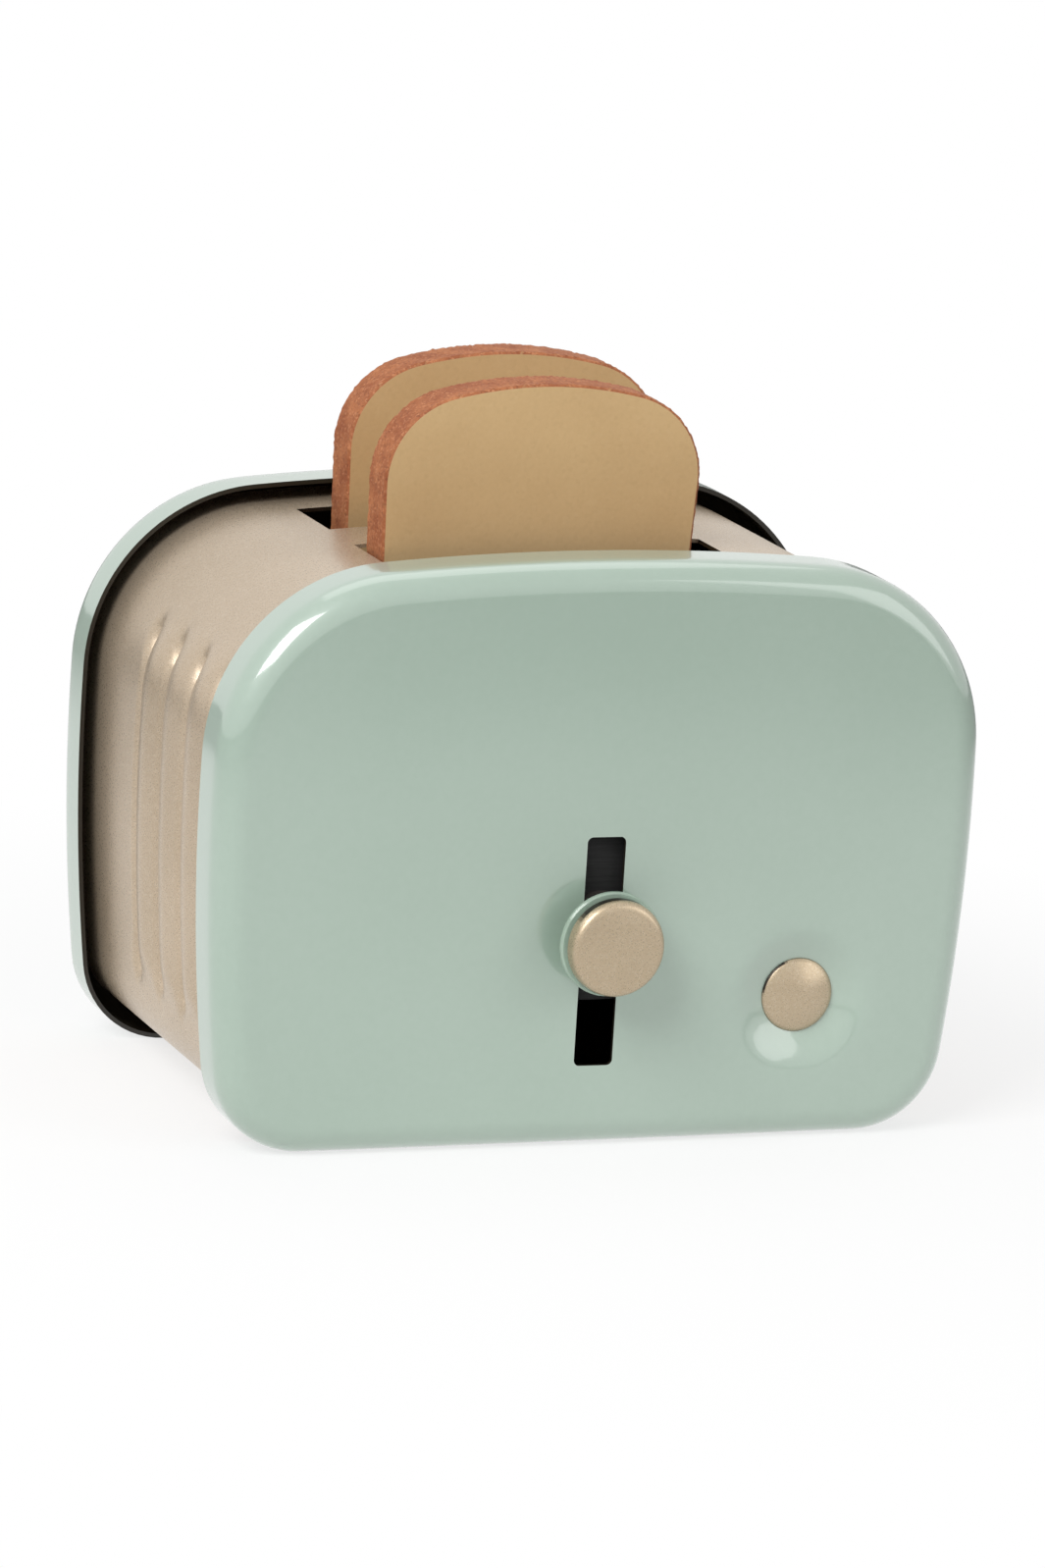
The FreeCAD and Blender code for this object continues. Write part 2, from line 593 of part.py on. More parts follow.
def seam_rivets():
    low = size("band_inset")
    high = low + 2 * size("band_sheet")
    rivets = [flat_rivet(0, y, low, high, size("seam_rivet_radius"), size("seam_rivet_height"))
              for y in seam_rivet_places()]
    return add_shape("seam_rivets", Part.makeCompound(rivets))


body_band()
seam_rivets()


# Lever: knob, washer and sleeve in front of the cover, friction washer and carriage behind it

def profile_body(label, points, plane_role, offset=None):
    """A body with a closed polygon sketch, each point a pair of (value, expression) pairs."""
    body = new_body(label)
    sketch = new_sketch(body, label + "_profile", plane_role, offset)
    count = len(points)
    flat = [Vector(point[0][0], point[1][0]) for point in points]
    lines = [sketch.addGeometry(Part.LineSegment(flat[i], flat[(i + 1) % count])) for i in range(count)]
    for i in range(count):
        sketch.addConstraint(Sketcher.Constraint("Coincident", lines[i], 2, lines[(i + 1) % count], 1))
        (x, ex), (y, ey) = points[i]
        driven(sketch, Sketcher.Constraint("DistanceX", -1, 1, lines[i], 1, x), ex)
        driven(sketch, Sketcher.Constraint("DistanceY", -1, 1, lines[i], 1, y), ey)
    return body, sketch


def ring_part(label, inner, outer, front, back):
    """A plain ring about the knob's axis, between two levels of y. Sizes are (value, expression)."""
    body = new_body(label)
    sketch = new_sketch(body, label + "_ring", "XZ_Plane", "-(%s)" % front[1])
    centre = ((0.0, "0"), (size("knob_height"), cell("knob_height")))
    add_circle(sketch, centre, outer)
    add_circle(sketch, centre, inner)
    pad(body, sketch, "%s - (%s)" % (back[1], front[1]), backwards=True)
    return body


spacer_back = (-size("slide_gap"), "-Sizes.slide_gap")
spacer_front = (spacer_back[0] - size("spacer_length"), "-Sizes.slide_gap - Sizes.spacer_length")
washer_front = (spacer_front[0] - size("washer_thickness"), spacer_front[1] + " - Sizes.washer_thickness")
shank_bore = (size("shank_radius") + size("bore_gap"), "Sizes.shank_radius + Sizes.bore_gap")
friction_front = (size("cover_sheet") + size("slide_gap"), "Sizes.cover_sheet + Sizes.slide_gap")
friction_back = (friction_front[0] + size("friction_thickness"), friction_front[1] + " + Sizes.friction_thickness")

ring_part("knob_spacer", shank_bore, (size("spacer_radius"), cell("spacer_radius")), spacer_front, spacer_back)
ring_part("knob_washer", shank_bore, (size("washer_radius"), cell("washer_radius")), washer_front, spacer_front)
ring_part("friction_washer", shank_bore, (size("friction_radius"), cell("friction_radius")),
          friction_front, friction_back)
retainer_front = (carriage_back, "Sizes.cover_sheet + 2 * Sizes.slide_gap + Sizes.friction_thickness"
                                 " + Sizes.carriage_sheet")
retainer_back = (carriage_back + size("retainer_thickness"), retainer_front[1] + " + Sizes.retainer_thickness")
ring_part("retainer_washer", shank_bore, (size("retainer_radius"), cell("retainer_radius")),
          retainer_front, retainer_back)


def lever_knob():
    """Cap, shank and upset end turned as one rivet about the knob's axis."""
    front = washer_front[0]
    radius, edge = size("knob_radius"), size("knob_edge")
    crown = size("knob_crown")
    face = front - size("knob_thickness")
    shank = size("shank_radius")
    peen_start = carriage_back + size("retainer_thickness")
    peen_end = peen_start + size("peen_thickness")
    flat = radius - edge
    crown_radius = (flat ** 2 + crown ** 2) / (2 * crown)
    crown_centre = Vector(0, face - crown + crown_radius, 0)
    half_turn = math.asin(flat / crown_radius) / 2
    crown_middle = crown_centre + Vector(math.sin(half_turn), -math.cos(half_turn), 0) * crown_radius
    rim_middle = Vector(flat + edge * math.sin(math.pi / 4), face + edge * (1 - math.cos(math.pi / 4)), 0)
    points = [Vector(radius, face + edge, 0), Vector(radius, front, 0), Vector(shank, front, 0),
              Vector(shank, peen_start, 0), Vector(size("peen_radius"), peen_start, 0),
              Vector(size("peen_radius") - size("peen_thickness") / 2, peen_end, 0), Vector(0, peen_end, 0),
              Vector(0, face - crown, 0)]
    edges = [Part.makeLine(a, b) for a, b in zip(points, points[1:])]
    edges.append(Part.Arc(points[-1], crown_middle, Vector(flat, face, 0)).toShape())
    edges.append(Part.Arc(Vector(flat, face, 0), rim_middle, points[0]).toShape())
    profile = Part.Face(Part.Wire(edges))
    solid = profile.revolve(Vector(0, 0, 0), Vector(0, 1, 0), 360)
    solid.translate(Vector(0, 0, size("knob_height")))
    return add_shape("lever_knob", solid)


lever_knob()


def carriage():
    """A strip bent once: plate behind the front cover, arm under both slices."""
    body = new_body("carriage")
    plate = new_sketch(body, "carriage_plate", "XZ_Plane",
                       "-(Sizes.cover_sheet + 2 * Sizes.slide_gap + Sizes.friction_thickness)")
    wide, neck = size("carriage_width") / 2, size("carriage_neck") / 2
    low, shoulder = size("carriage_bottom"), size("carriage_shoulder")
    add_rectangle(plate, ((-wide, "-Sizes.carriage_width / 2"), (low, cell("carriage_bottom"))),
                  ((wide, "Sizes.carriage_width / 2"), (shoulder, cell("carriage_shoulder"))))
    pad(body, plate, cell("carriage_sheet"), backwards=True)
    arm = new_sketch(body, "carriage_arm", "YZ_Plane")
    front, back = carriage_front, carriage_back
    top, under = size("shelf_height"), size("shelf_height") - size("carriage_sheet")
    end = (slice_centres[1] + size("slice_thickness") / 2 + size("cradle_gap") + size("cradle_sheet")
           + size("shelf_overhang"))
    front_expression = "Sizes.cover_sheet + 2 * Sizes.slide_gap + Sizes.friction_thickness"
    back_expression = front_expression + " + Sizes.carriage_sheet"
    end_expression = ("Sizes.toaster_depth / 2 + Sizes.bread_slot_shift + Sizes.slice_set_back + Sizes.bread_slot_pitch / 2"
                      " + Sizes.slice_thickness / 2 + Sizes.cradle_gap + Sizes.cradle_sheet"
                      " + Sizes.shelf_overhang")
    start = shoulder - size("carriage_sheet")
    start_expression = "Sizes.carriage_shoulder - Sizes.carriage_sheet"
    under_expression = "Sizes.shelf_height - Sizes.carriage_sheet"
    points = [((front, front_expression), (start, start_expression)),
              ((back, back_expression), (start, start_expression)),
              ((back, back_expression), (under, under_expression)),
              ((end, end_expression), (under, under_expression)),
              ((end, end_expression), (top, cell("shelf_height"))),
              ((front, front_expression), (top, cell("shelf_height")))]
    count = len(points)
    flat = [Vector(point[0][0], point[1][0]) for point in points]
    lines = [arm.addGeometry(Part.LineSegment(flat[i], flat[(i + 1) % count])) for i in range(count)]
    for i in range(count):
        arm.addConstraint(Sketcher.Constraint("Coincident", lines[i], 2, lines[(i + 1) % count], 1))
        (x, ex), (z, ez) = points[i]
        driven(arm, Sketcher.Constraint("DistanceX", -1, 1, lines[i], 1, x), ex)
        driven(arm, Sketcher.Constraint("DistanceY", -1, 1, lines[i], 1, z), ez)
    strip = pad(body, arm, cell("carriage_neck"))
    strip.Midplane = True
    doc.recompute()
    across = lambda edge: edge.BoundBox.XLength > size("carriage_neck") - 1e-3
    outer = fillet(body, strip, cell("shelf_bend"),
                   lambda edge: across(edge) and abs(edge.BoundBox.Center.y - front) < 1e-4
                   and abs(edge.BoundBox.Center.z - top) < 1e-4)
    inner = fillet(body, outer, "Sizes.shelf_bend - Sizes.carriage_sheet",
                   lambda edge: across(edge) and abs(edge.BoundBox.Center.y - back) < 1e-4
                   and abs(edge.BoundBox.Center.z - under) < 1e-4)
    doc.recompute()
    bore = new_sketch(body, "carriage_bore", "XZ_Plane")
    add_circle(bore, ((0.0, "0"), (size("knob_height"), cell("knob_height"))), shank_bore)
    pocket(body, bore, "Sizes.cover_sheet + 2 * Sizes.slide_gap + Sizes.friction_thickness"
                       " + 2 * Sizes.carriage_sheet")
    holes = new_sketch(body, "carriage_rivet_holes", "XY_Plane", cell("shelf_height"))
    centre_expression = "Sizes.toaster_depth / 2 + Sizes.bread_slot_shift + Sizes.slice_set_back + %d * Sizes.bread_slot_pitch / 2"
    for centre, side in zip(slice_centres, (-1, 1)):
        for hand in (-1, 1):
            add_circle(holes, ((hand * size("cradle_rivet_pitch") / 2, "%d * Sizes.cradle_rivet_pitch / 2" % hand),
                               (centre, centre_expression % side)),
                       (size("cradle_rivet_radius") / 2, "Sizes.cradle_rivet_radius / 2"))
    pocket(body, holes, "2 * Sizes.carriage_sheet")
    return body


carriage()


def bread_cradle(label, centre, side):
    """A channel that holds one slice by its foot, riveted to the carriage's arm."""
    inside = size("slice_thickness") / 2 + size("cradle_gap")
    outside = inside + size("cradle_sheet")
    floor, top = size("shelf_height"), size("shelf_height") + size("cradle_wall")
    middle = "(Sizes.toaster_depth / 2 + Sizes.bread_slot_shift + Sizes.slice_set_back + %d * Sizes.bread_slot_pitch / 2)" % side
    in_expression = "(Sizes.slice_thickness / 2 + Sizes.cradle_gap)"
    out_expression = "(Sizes.slice_thickness / 2 + Sizes.cradle_gap + Sizes.cradle_sheet)"
    top_expression = "Sizes.shelf_height + Sizes.cradle_wall"
    floor_expression = "Sizes.shelf_height + Sizes.cradle_sheet"
    points = [((centre - outside, middle + " - " + out_expression), (floor, cell("shelf_height"))),
              ((centre + outside, middle + " + " + out_expression), (floor, cell("shelf_height"))),
              ((centre + outside, middle + " + " + out_expression), (top, top_expression)),
              ((centre + inside, middle + " + " + in_expression), (top, top_expression)),
              ((centre + inside, middle + " + " + in_expression), (cradle_floor, floor_expression)),
              ((centre - inside, middle + " - " + in_expression), (cradle_floor, floor_expression)),
              ((centre - inside, middle + " - " + in_expression), (top, top_expression)),
              ((centre - outside, middle + " - " + out_expression), (top, top_expression))]
    body, sketch = profile_body(label, points, "YZ_Plane")
    channel = pad(body, sketch, cell("cradle_length"))
    channel.Midplane = True
    doc.recompute()
    holes = new_sketch(body, label + "_holes", "XY_Plane", floor_expression)
    for hand in (-1, 1):
        add_circle(holes, ((hand * size("cradle_rivet_pitch") / 2, "%d * Sizes.cradle_rivet_pitch / 2" % hand),
                           (centre, middle)), (size("cradle_rivet_radius") / 2, "Sizes.cradle_rivet_radius / 2"))
    pocket(body, holes, "2 * Sizes.cradle_sheet")
    return body


def cradle_rivets():
    low = size("shelf_height") - size("carriage_sheet")
    rivets = []
    for centre in slice_centres:
        for hand in (-1, 1):
            x = hand * size("cradle_rivet_pitch") / 2
            head_radius, head_height = size("cradle_rivet_radius"), size("cradle_rivet_height")
            head = Part.makeCylinder(head_radius, head_height, Vector(x, centre, low - head_height))
            shank = Part.makeCylinder(head_radius / 2, cradle_floor - low + head_height,
                                      Vector(x, centre, low - head_height))
            rivets.append(head.fuse(shank).removeSplitter())
    return add_shape("cradle_rivets", Part.makeCompound(rivets))


bread_cradle("front_bread_cradle", slice_centres[0], -1)
bread_cradle("rear_bread_cradle", slice_centres[1], 1)
cradle_rivets()


def guide_rail(label, hand):
    """A stepped strip welded behind the front cover, with a lip over the carriage's edge."""
    back = carriage_back + size("rail_gap")
    inner = size("carriage_width") / 2 + size("rail_gap")
    t = size("rail_sheet")
    cover = size("cover_sheet")
    inner_expression = "(Sizes.carriage_width / 2 + Sizes.rail_gap)"
    back_expression = ("(Sizes.cover_sheet + 2 * Sizes.slide_gap + Sizes.friction_thickness"
                       " + Sizes.carriage_sheet + Sizes.rail_gap)")
    outlines = [(inner, inner_expression, cover, cell("cover_sheet")),
                (inner + size("rail_foot"), inner_expression + " + Sizes.rail_foot", cover, cell("cover_sheet")),
                (inner + size("rail_foot"), inner_expression + " + Sizes.rail_foot", cover + t,
                 "Sizes.cover_sheet + Sizes.rail_sheet"),
                (inner + t, inner_expression + " + Sizes.rail_sheet", cover + t,
                 "Sizes.cover_sheet + Sizes.rail_sheet"),
                (inner + t, inner_expression + " + Sizes.rail_sheet", back + t, back_expression + " + Sizes.rail_sheet"),
                (inner - size("rail_lip"), inner_expression + " - Sizes.rail_lip", back + t,
                 back_expression + " + Sizes.rail_sheet"),
                (inner - size("rail_lip"), inner_expression + " - Sizes.rail_lip", back, back_expression),
                (inner, inner_expression, back, back_expression)]
    points = [((hand * x, "%d * (%s)" % (hand, ex)), (y, ey)) for x, ex, y, ey in outlines]
    body, sketch = profile_body(label, points, "XY_Plane", cell("rail_bottom"))
    pad(body, sketch, "Sizes.rail_top - Sizes.rail_bottom")
    return body


guide_rail("guide_rail_left", -1)
guide_rail("guide_rail_right", 1)


# Button: a sprung dome in its finger dish, with its spring cup behind the cover

def button():
    """Dome, stop flange and stem turned as one piece about the button's axis."""
    radius, dome = size("button_radius"), size("button_dome")
    top = size("button_sink")
    dome_radius = (radius ** 2 + dome ** 2) / (2 * dome)
    half_turn = math.asin(radius / dome_radius) / 2
    dome_centre = Vector(0, top + dome_radius, 0)
    dome_middle = dome_centre + Vector(math.sin(half_turn), -math.cos(half_turn), 0) * dome_radius
    flange_front = button_flange_front()
    flange_back = flange_front + size("button_flange_thickness")
    stem, stem_end = size("button_stem"), size("button_stem_end")
    points = [Vector(radius, top + dome, 0), Vector(radius, flange_front, 0),
              Vector(size("button_flange"), flange_front, 0), Vector(size("button_flange"), flange_back, 0),
              Vector(stem, flange_back, 0), Vector(stem, stem_end, 0), Vector(0, stem_end, 0), Vector(0, top, 0)]
    edges = [Part.makeLine(a, b) for a, b in zip(points, points[1:])]
    edges.append(Part.Arc(points[-1], dome_middle, points[0]).toShape())
    solid = Part.Face(Part.Wire(edges)).revolve(Vector(0, 0, 0), Vector(0, 1, 0), 360)
    solid.translate(Vector(size("button_place"), 0, size("button_height")))
    return add_shape("button", solid)


def button_flange_front():
    """The stop flange rests behind the rim of the hole in the dish."""
    ball = (size("dish_radius") ** 2 + size("dish_depth") ** 2) / (2 * size("dish_depth"))
    back_ball = ball + size("cover_sheet")
    hole = size("button_radius") + size("button_gap")
    return size("dish_depth") - ball + math.sqrt(back_ball ** 2 - hole ** 2) + size("slide_gap")


def button_cup():
    """A drawn cup welded behind the dish: rim, wall and a floor with the stem's hole."""
    inner, wall = size("cup_radius"), size("cup_sheet")
    rim_y = size("cover_sheet")
    floor = size("cup_depth")
    stem_hole = size("button_stem") + size("button_gap")
    reach = inner + wall + size("cup_flange")
    points = [Vector(inner, rim_y, 0), Vector(reach, rim_y, 0), Vector(reach, rim_y + wall, 0),
              Vector(inner + wall, rim_y + wall, 0), Vector(inner + wall, floor + wall, 0),
              Vector(stem_hole, floor + wall, 0), Vector(stem_hole, floor, 0), Vector(inner, floor, 0)]
    solid = Part.Face(Part.makePolygon(points + points[:1])).revolve(Vector(0, 0, 0), Vector(0, 1, 0), 360)
    solid.translate(Vector(size("button_place"), 0, size("button_height")))
    return add_shape("button_cup", solid)


def tangent_arc(start, towards, end):
    """The circular arc that leaves the start towards a point and arrives at the end."""
    heading = Vector(towards - start).normalize()
    chord = end - start
    inward = Vector(chord - heading * chord.dot(heading)).normalize()
    radius = chord.dot(chord) / (2 * chord.dot(inward))
    centre = start + inward * radius
    middle = Vector((start - centre) + (end - centre)).normalize()
    return Part.Arc(start, centre + middle * radius, end).toShape()


def coil_path(radius, height, turns):
    """A rising coil about Z, drawn as two tangent arcs to each half turn."""
    def place(angle):
        return Vector(radius * math.cos(angle), radius * math.sin(angle), height * angle / (2 * math.pi * turns))

    def heading(angle):
        rise = height / (2 * math.pi * turns)
        return Vector(-radius * math.sin(angle), radius * math.cos(angle), rise).normalize()

    edges = []
    for half in range(int(round(2 * turns))):
        first, last = half * math.pi, (half + 1) * math.pi
        chord = place(last) - place(first)
        both = heading(first) + heading(last)
        spread = 2 * (1 - heading(first).dot(heading(last)))
        reach = (-chord.dot(both) + math.sqrt(chord.dot(both) ** 2 + spread * chord.dot(chord))) / spread
        leave = place(first) + heading(first) * reach
        arrive = place(last) - heading(last) * reach
        joint = (leave + arrive) * 0.5
        edges.append(tangent_arc(place(first), leave, joint))
        edges.append(tangent_arc(joint, arrive, place(last)))
    return Part.Wire(edges), place(0), heading(0)


def button_spring():
    """An open coil of square wire between the stop flange and the cup's floor."""
    wire = size("spring_wire") / 2
    start = button_flange_front() + size("button_flange_thickness") + size("spring_end_gap") + 1.1 * wire
    end = size("cup_depth") - size("spring_end_gap") - 1.1 * wire
    path, first, heading = coil_path(size("spring_radius"), end - start, size("spring_turns"))
    outward = Vector(first).normalize() * wire
    along = heading.cross(outward).normalize() * wire
    corners = [first + outward + along, first - outward + along, first - outward - along, first + outward - along]
    section = Part.makePolygon(corners + corners[:1])
    coil = path.makePipeShell([section], True, False)
    coil.rotate(Vector(0, 0, 0), Vector(1, 0, 0), -90)
    coil.translate(Vector(size("button_place"), start, size("button_height")))
    return add_shape("button_spring", coil)


button()
button_cup()
button_spring()


# Bread: two loose slices cut from board, standing in the cradles

def bread_slice(label, centre, side):
    """Loaf-shaped board: arched top, round shoulders, sides drawn in towards the foot."""
    body = new_body(label)
    middle = ("(Sizes.toaster_depth / 2 + Sizes.bread_slot_shift + Sizes.slice_set_back"
              " + %d * Sizes.bread_slot_pitch / 2)" % side)
    face = "-(%s - Sizes.slice_thickness / 2)" % middle
    sketch = new_sketch(body, label + "_outline", "XZ_Plane", face)
    place = "front_slice_offset" if side < 0 else "rear_slice_offset"
    off = size(place)
    half, foot_half = size("slice_width") / 2, size("slice_width") / 2 - size("slice_taper")
    top = slice_bottom + size("slice_height")
    crown, shoulder = size("slice_crown"), size("slice_shoulder")
    shoulder_x = half - shoulder
    arch_z = top - crown
    shoulder_z = arch_z + math.sqrt((crown - shoulder) ** 2 - shoulder_x ** 2)
    turn = math.atan2(shoulder_z - arch_z, shoulder_x)

    # The side leaves the shoulder's circle on a line that reaches the foot's end.
    rise, run = shoulder_z - slice_bottom, shoulder_x - foot_half
    lean = math.atan2(-rise, -run) + math.acos(shoulder / math.hypot(rise, run))
    leave = Vector(shoulder_x + shoulder * math.cos(lean), shoulder_z + shoulder * math.sin(lean))
    arch = sketch.addGeometry(Part.ArcOfCircle(
        Part.Circle(Vector(off, arch_z), Vector(0, 0, 1), crown), turn, math.pi - turn))
    left_shoulder = sketch.addGeometry(Part.ArcOfCircle(
        Part.Circle(Vector(off - shoulder_x, shoulder_z), Vector(0, 0, 1), shoulder),
        math.pi - turn, math.pi - lean))
    left = sketch.addGeometry(Part.LineSegment(Vector(off - leave.x, leave.y), Vector(off - foot_half, slice_bottom)))
    foot = sketch.addGeometry(Part.LineSegment(Vector(off - foot_half, slice_bottom),
                                               Vector(off + foot_half, slice_bottom)))
    right = sketch.addGeometry(Part.LineSegment(Vector(off + foot_half, slice_bottom), Vector(off + leave.x, leave.y)))
    right_shoulder = sketch.addGeometry(Part.ArcOfCircle(
        Part.Circle(Vector(off + shoulder_x, shoulder_z), Vector(0, 0, 1), shoulder), lean, turn))
    for here, after in ((arch, left_shoulder), (left_shoulder, left), (right, right_shoulder),
                        (right_shoulder, arch)):
        sketch.addConstraint(Sketcher.Constraint("Tangent", here, 2, after, 1))
    sketch.addConstraint(Sketcher.Constraint("Coincident", left, 2, foot, 1))
    sketch.addConstraint(Sketcher.Constraint("Coincident", foot, 2, right, 1))
    sketch.addConstraint(Sketcher.Constraint("Horizontal", foot))
    driven(sketch, Sketcher.Constraint("Radius", arch, crown), cell("slice_crown"))
    driven(sketch, Sketcher.Constraint("Radius", left_shoulder, shoulder), cell("slice_shoulder"))
    driven(sketch, Sketcher.Constraint("Radius", right_shoulder, shoulder), cell("slice_shoulder"))
    middle_x = cell(place)
    driven(sketch, Sketcher.Constraint("DistanceX", -1, 1, arch, 3, off), middle_x)
    driven(sketch, Sketcher.Constraint("DistanceX", -1, 1, left_shoulder, 3, off - shoulder_x),
           middle_x + " - Sizes.slice_width / 2 + Sizes.slice_shoulder")
    driven(sketch, Sketcher.Constraint("DistanceX", -1, 1, right_shoulder, 3, off + shoulder_x),
           middle_x + " + Sizes.slice_width / 2 - Sizes.slice_shoulder")
    driven(sketch, Sketcher.Constraint("DistanceX", -1, 1, foot, 1, off - foot_half),
           middle_x + " - Sizes.slice_width / 2 + Sizes.slice_taper")
    driven(sketch, Sketcher.Constraint("DistanceX", -1, 1, foot, 2, off + foot_half),
           middle_x + " + Sizes.slice_width / 2 - Sizes.slice_taper")
    bottom_expression = "Sizes.shelf_height + Sizes.cradle_sheet + Sizes.slice_seat"
    driven(sketch, Sketcher.Constraint("DistanceY", -1, 1, foot, 1, slice_bottom), bottom_expression)
    driven(sketch, Sketcher.Constraint("DistanceY", -1, 1, arch, 3, arch_z),
           bottom_expression + " + Sizes.slice_height - Sizes.slice_crown")
    board = pad(body, sketch, cell("slice_thickness"), backwards=True)
    feet = fillet(body, board, cell("slice_foot"),
                  lambda edge: abs(edge.BoundBox.ZMax - slice_bottom) < 1e-4 and edge.BoundBox.XLength < 1e-4
                  and edge.BoundBox.YLength > size("slice_edge"))
    faces_y = (centre - size("slice_thickness") / 2, centre + size("slice_thickness") / 2)
    chamfer(body, feet, cell("slice_edge"), lambda edge: any(at_level(1, y)(edge) for y in faces_y))
    doc.recompute()
    return body


bread_slice("front_bread_slice", slice_centres[0], -1)
bread_slice("rear_bread_slice", slice_centres[1], 1)
doc.recompute()


# Check every object, then write one file per sub-part

NODES = ["front_cover", "rear_cover", "body_band", "seam_rivets", "guide_rail_left", "guide_rail_right",
         "button_cup", "button_spring", "button", "lever_knob", "knob_washer", "knob_spacer",
         "friction_washer", "retainer_washer", "carriage", "front_bread_cradle", "rear_bread_cradle", "cradle_rivets",
         "front_bread_slice", "rear_bread_slice"]

for item in doc.Objects:
    if "Invalid" in item.State or "Error" in item.State:
        raise RuntimeError("%s failed: %s" % (item.Name, item.State))

os.makedirs("parts", exist_ok=True)
for label in NODES:
    item = doc.getObjectsByLabel(label)[0]
    shape = item.Shape
    if shape.isNull() or not shape.isValid() or not shape.Solids:
        raise RuntimeError(label + " has no valid solid")
    box = shape.BoundBox
    print("%-20s solids %d volume %9.2f  x %7.2f %7.2f  y %7.2f %7.2f  z %7.2f %7.2f" % (
        label, len(shape.Solids), shape.Volume, box.XMin, box.XMax, box.YMin, box.YMax, box.ZMin, box.ZMax))
for label in NODES:
    doc.getObjectsByLabel(label)[0].Shape.exportStep("parts/%s.step" % label)
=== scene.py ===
# %% [markdown]
# # A toy tin toaster
# The toaster is about 70 mm wide: two mint-enamelled covers, a champagne band with pressed flutes,
# a round lever knob, a small button and two slices of toast cut from board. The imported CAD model
# gives every piece its size and place, and Blender works in metres in that model's frame.

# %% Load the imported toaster
import math

import bmesh
import bpy
import numpy as np
from mathutils import Matrix, Vector


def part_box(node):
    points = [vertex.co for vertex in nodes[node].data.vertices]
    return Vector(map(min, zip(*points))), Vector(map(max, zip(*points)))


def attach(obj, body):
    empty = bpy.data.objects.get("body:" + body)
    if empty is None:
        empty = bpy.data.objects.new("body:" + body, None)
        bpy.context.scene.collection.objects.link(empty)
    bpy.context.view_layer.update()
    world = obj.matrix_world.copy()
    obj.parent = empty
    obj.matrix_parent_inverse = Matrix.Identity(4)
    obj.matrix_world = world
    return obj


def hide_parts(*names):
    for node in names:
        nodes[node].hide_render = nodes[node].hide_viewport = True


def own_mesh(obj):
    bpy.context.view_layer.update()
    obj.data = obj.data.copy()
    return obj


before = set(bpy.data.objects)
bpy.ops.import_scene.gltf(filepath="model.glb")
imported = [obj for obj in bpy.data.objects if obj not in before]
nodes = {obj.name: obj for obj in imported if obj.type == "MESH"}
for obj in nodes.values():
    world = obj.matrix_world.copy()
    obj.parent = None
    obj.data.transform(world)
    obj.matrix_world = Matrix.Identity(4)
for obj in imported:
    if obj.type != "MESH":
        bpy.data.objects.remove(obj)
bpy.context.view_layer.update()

# %% [markdown]
# ## Camera
# A long lens stands about 0.69 m away, 21 degrees round to the left and 13 degrees up.
# The position comes from matching the outline, the slot and the slices. The picture is rolled a
# few degrees, as a hand-held product shot often is, so the camera's up vector is turned as well.
# Angles and a distance were chosen, rather than a typed place, because each changes by itself.
# The Standard view shows every colour as it is written, which makes matching colours easier.

# %% Camera at the photograph's angle
IMAGE_WIDTH, IMAGE_HEIGHT = 1065, 1598
FOCAL_PIXELS, SENSOR_WIDTH = 8000.0, 36.0
CAMERA_AZIMUTH = math.radians(-21.08)
CAMERA_ELEVATION = math.radians(12.86)
CAMERA_ROLL = math.radians(3.54)
CAMERA_DISTANCE = 0.6908
CAMERA_TARGET = Vector((-0.00034, -0.00043, 0.02759))
scene = bpy.context.scene
scene.view_settings.view_transform = "Standard"


def photo_camera():
    """The camera stands at target + distance * back, and looks along -back, rolled about that line."""
    data = bpy.data.cameras.new("photo_camera")
    data.sensor_width = SENSOR_WIDTH
    data.lens = FOCAL_PIXELS * SENSOR_WIDTH / max(IMAGE_WIDTH, IMAGE_HEIGHT)
    data.clip_start, data.clip_end = 0.01, 20.0
    camera = bpy.data.objects.new("photo_camera", data)
    scene.collection.objects.link(camera)
    back = Vector((math.sin(CAMERA_AZIMUTH) * math.cos(CAMERA_ELEVATION),
                   -math.cos(CAMERA_AZIMUTH) * math.cos(CAMERA_ELEVATION),
                   math.sin(CAMERA_ELEVATION)))
    right = (-back).cross(Vector((0, 0, 1))).normalized()
    up = right.cross(-back)
    turned_right = right * math.cos(CAMERA_ROLL) + up * math.sin(CAMERA_ROLL)
    turned_up = up * math.cos(CAMERA_ROLL) - right * math.sin(CAMERA_ROLL)
    turn = Matrix((turned_right, turned_up, back)).transposed()
    camera.matrix_world = Matrix.Translation(CAMERA_TARGET + back * CAMERA_DISTANCE) @ turn.to_4x4()
    return camera


bpy.context.scene.camera = photo_camera()
print("camera at", [round(value, 4) for value in scene.camera.matrix_world.translation])

# %% [markdown]
# ## Building blocks for shaders
# Light, floor and finishes are all small graphs of nodes. They could be wired up one socket at a
# time, but that hides what a graph does. These helpers add one node each, so a graph reads like a
# sentence: a number goes onto the node's socket, and another node's output is linked to it.

# %% Node helpers
def feed(tree, value, socket):
    """Link the value if it is another node's output, and otherwise set it on the socket."""
    if isinstance(value, bpy.types.NodeSocket):
        tree.links.new(value, socket)
    else:
        socket.default_value = value


def math_node(tree, operation, *values, kind="ShaderNodeMath"):
    """One step of arithmetic on numbers or sockets."""
    node = tree.nodes.new(kind)
    node.operation = operation
    for value, socket in zip(values, node.inputs):
        feed(tree, value, socket)
    return node.outputs["Value" if operation in ("LENGTH", "DOT_PRODUCT") else 0]


def vector_node(tree, operation, *values):
    """The same for vectors; a length or a dot product comes out as a number."""
    return math_node(tree, operation, *values, kind="ShaderNodeVectorMath")


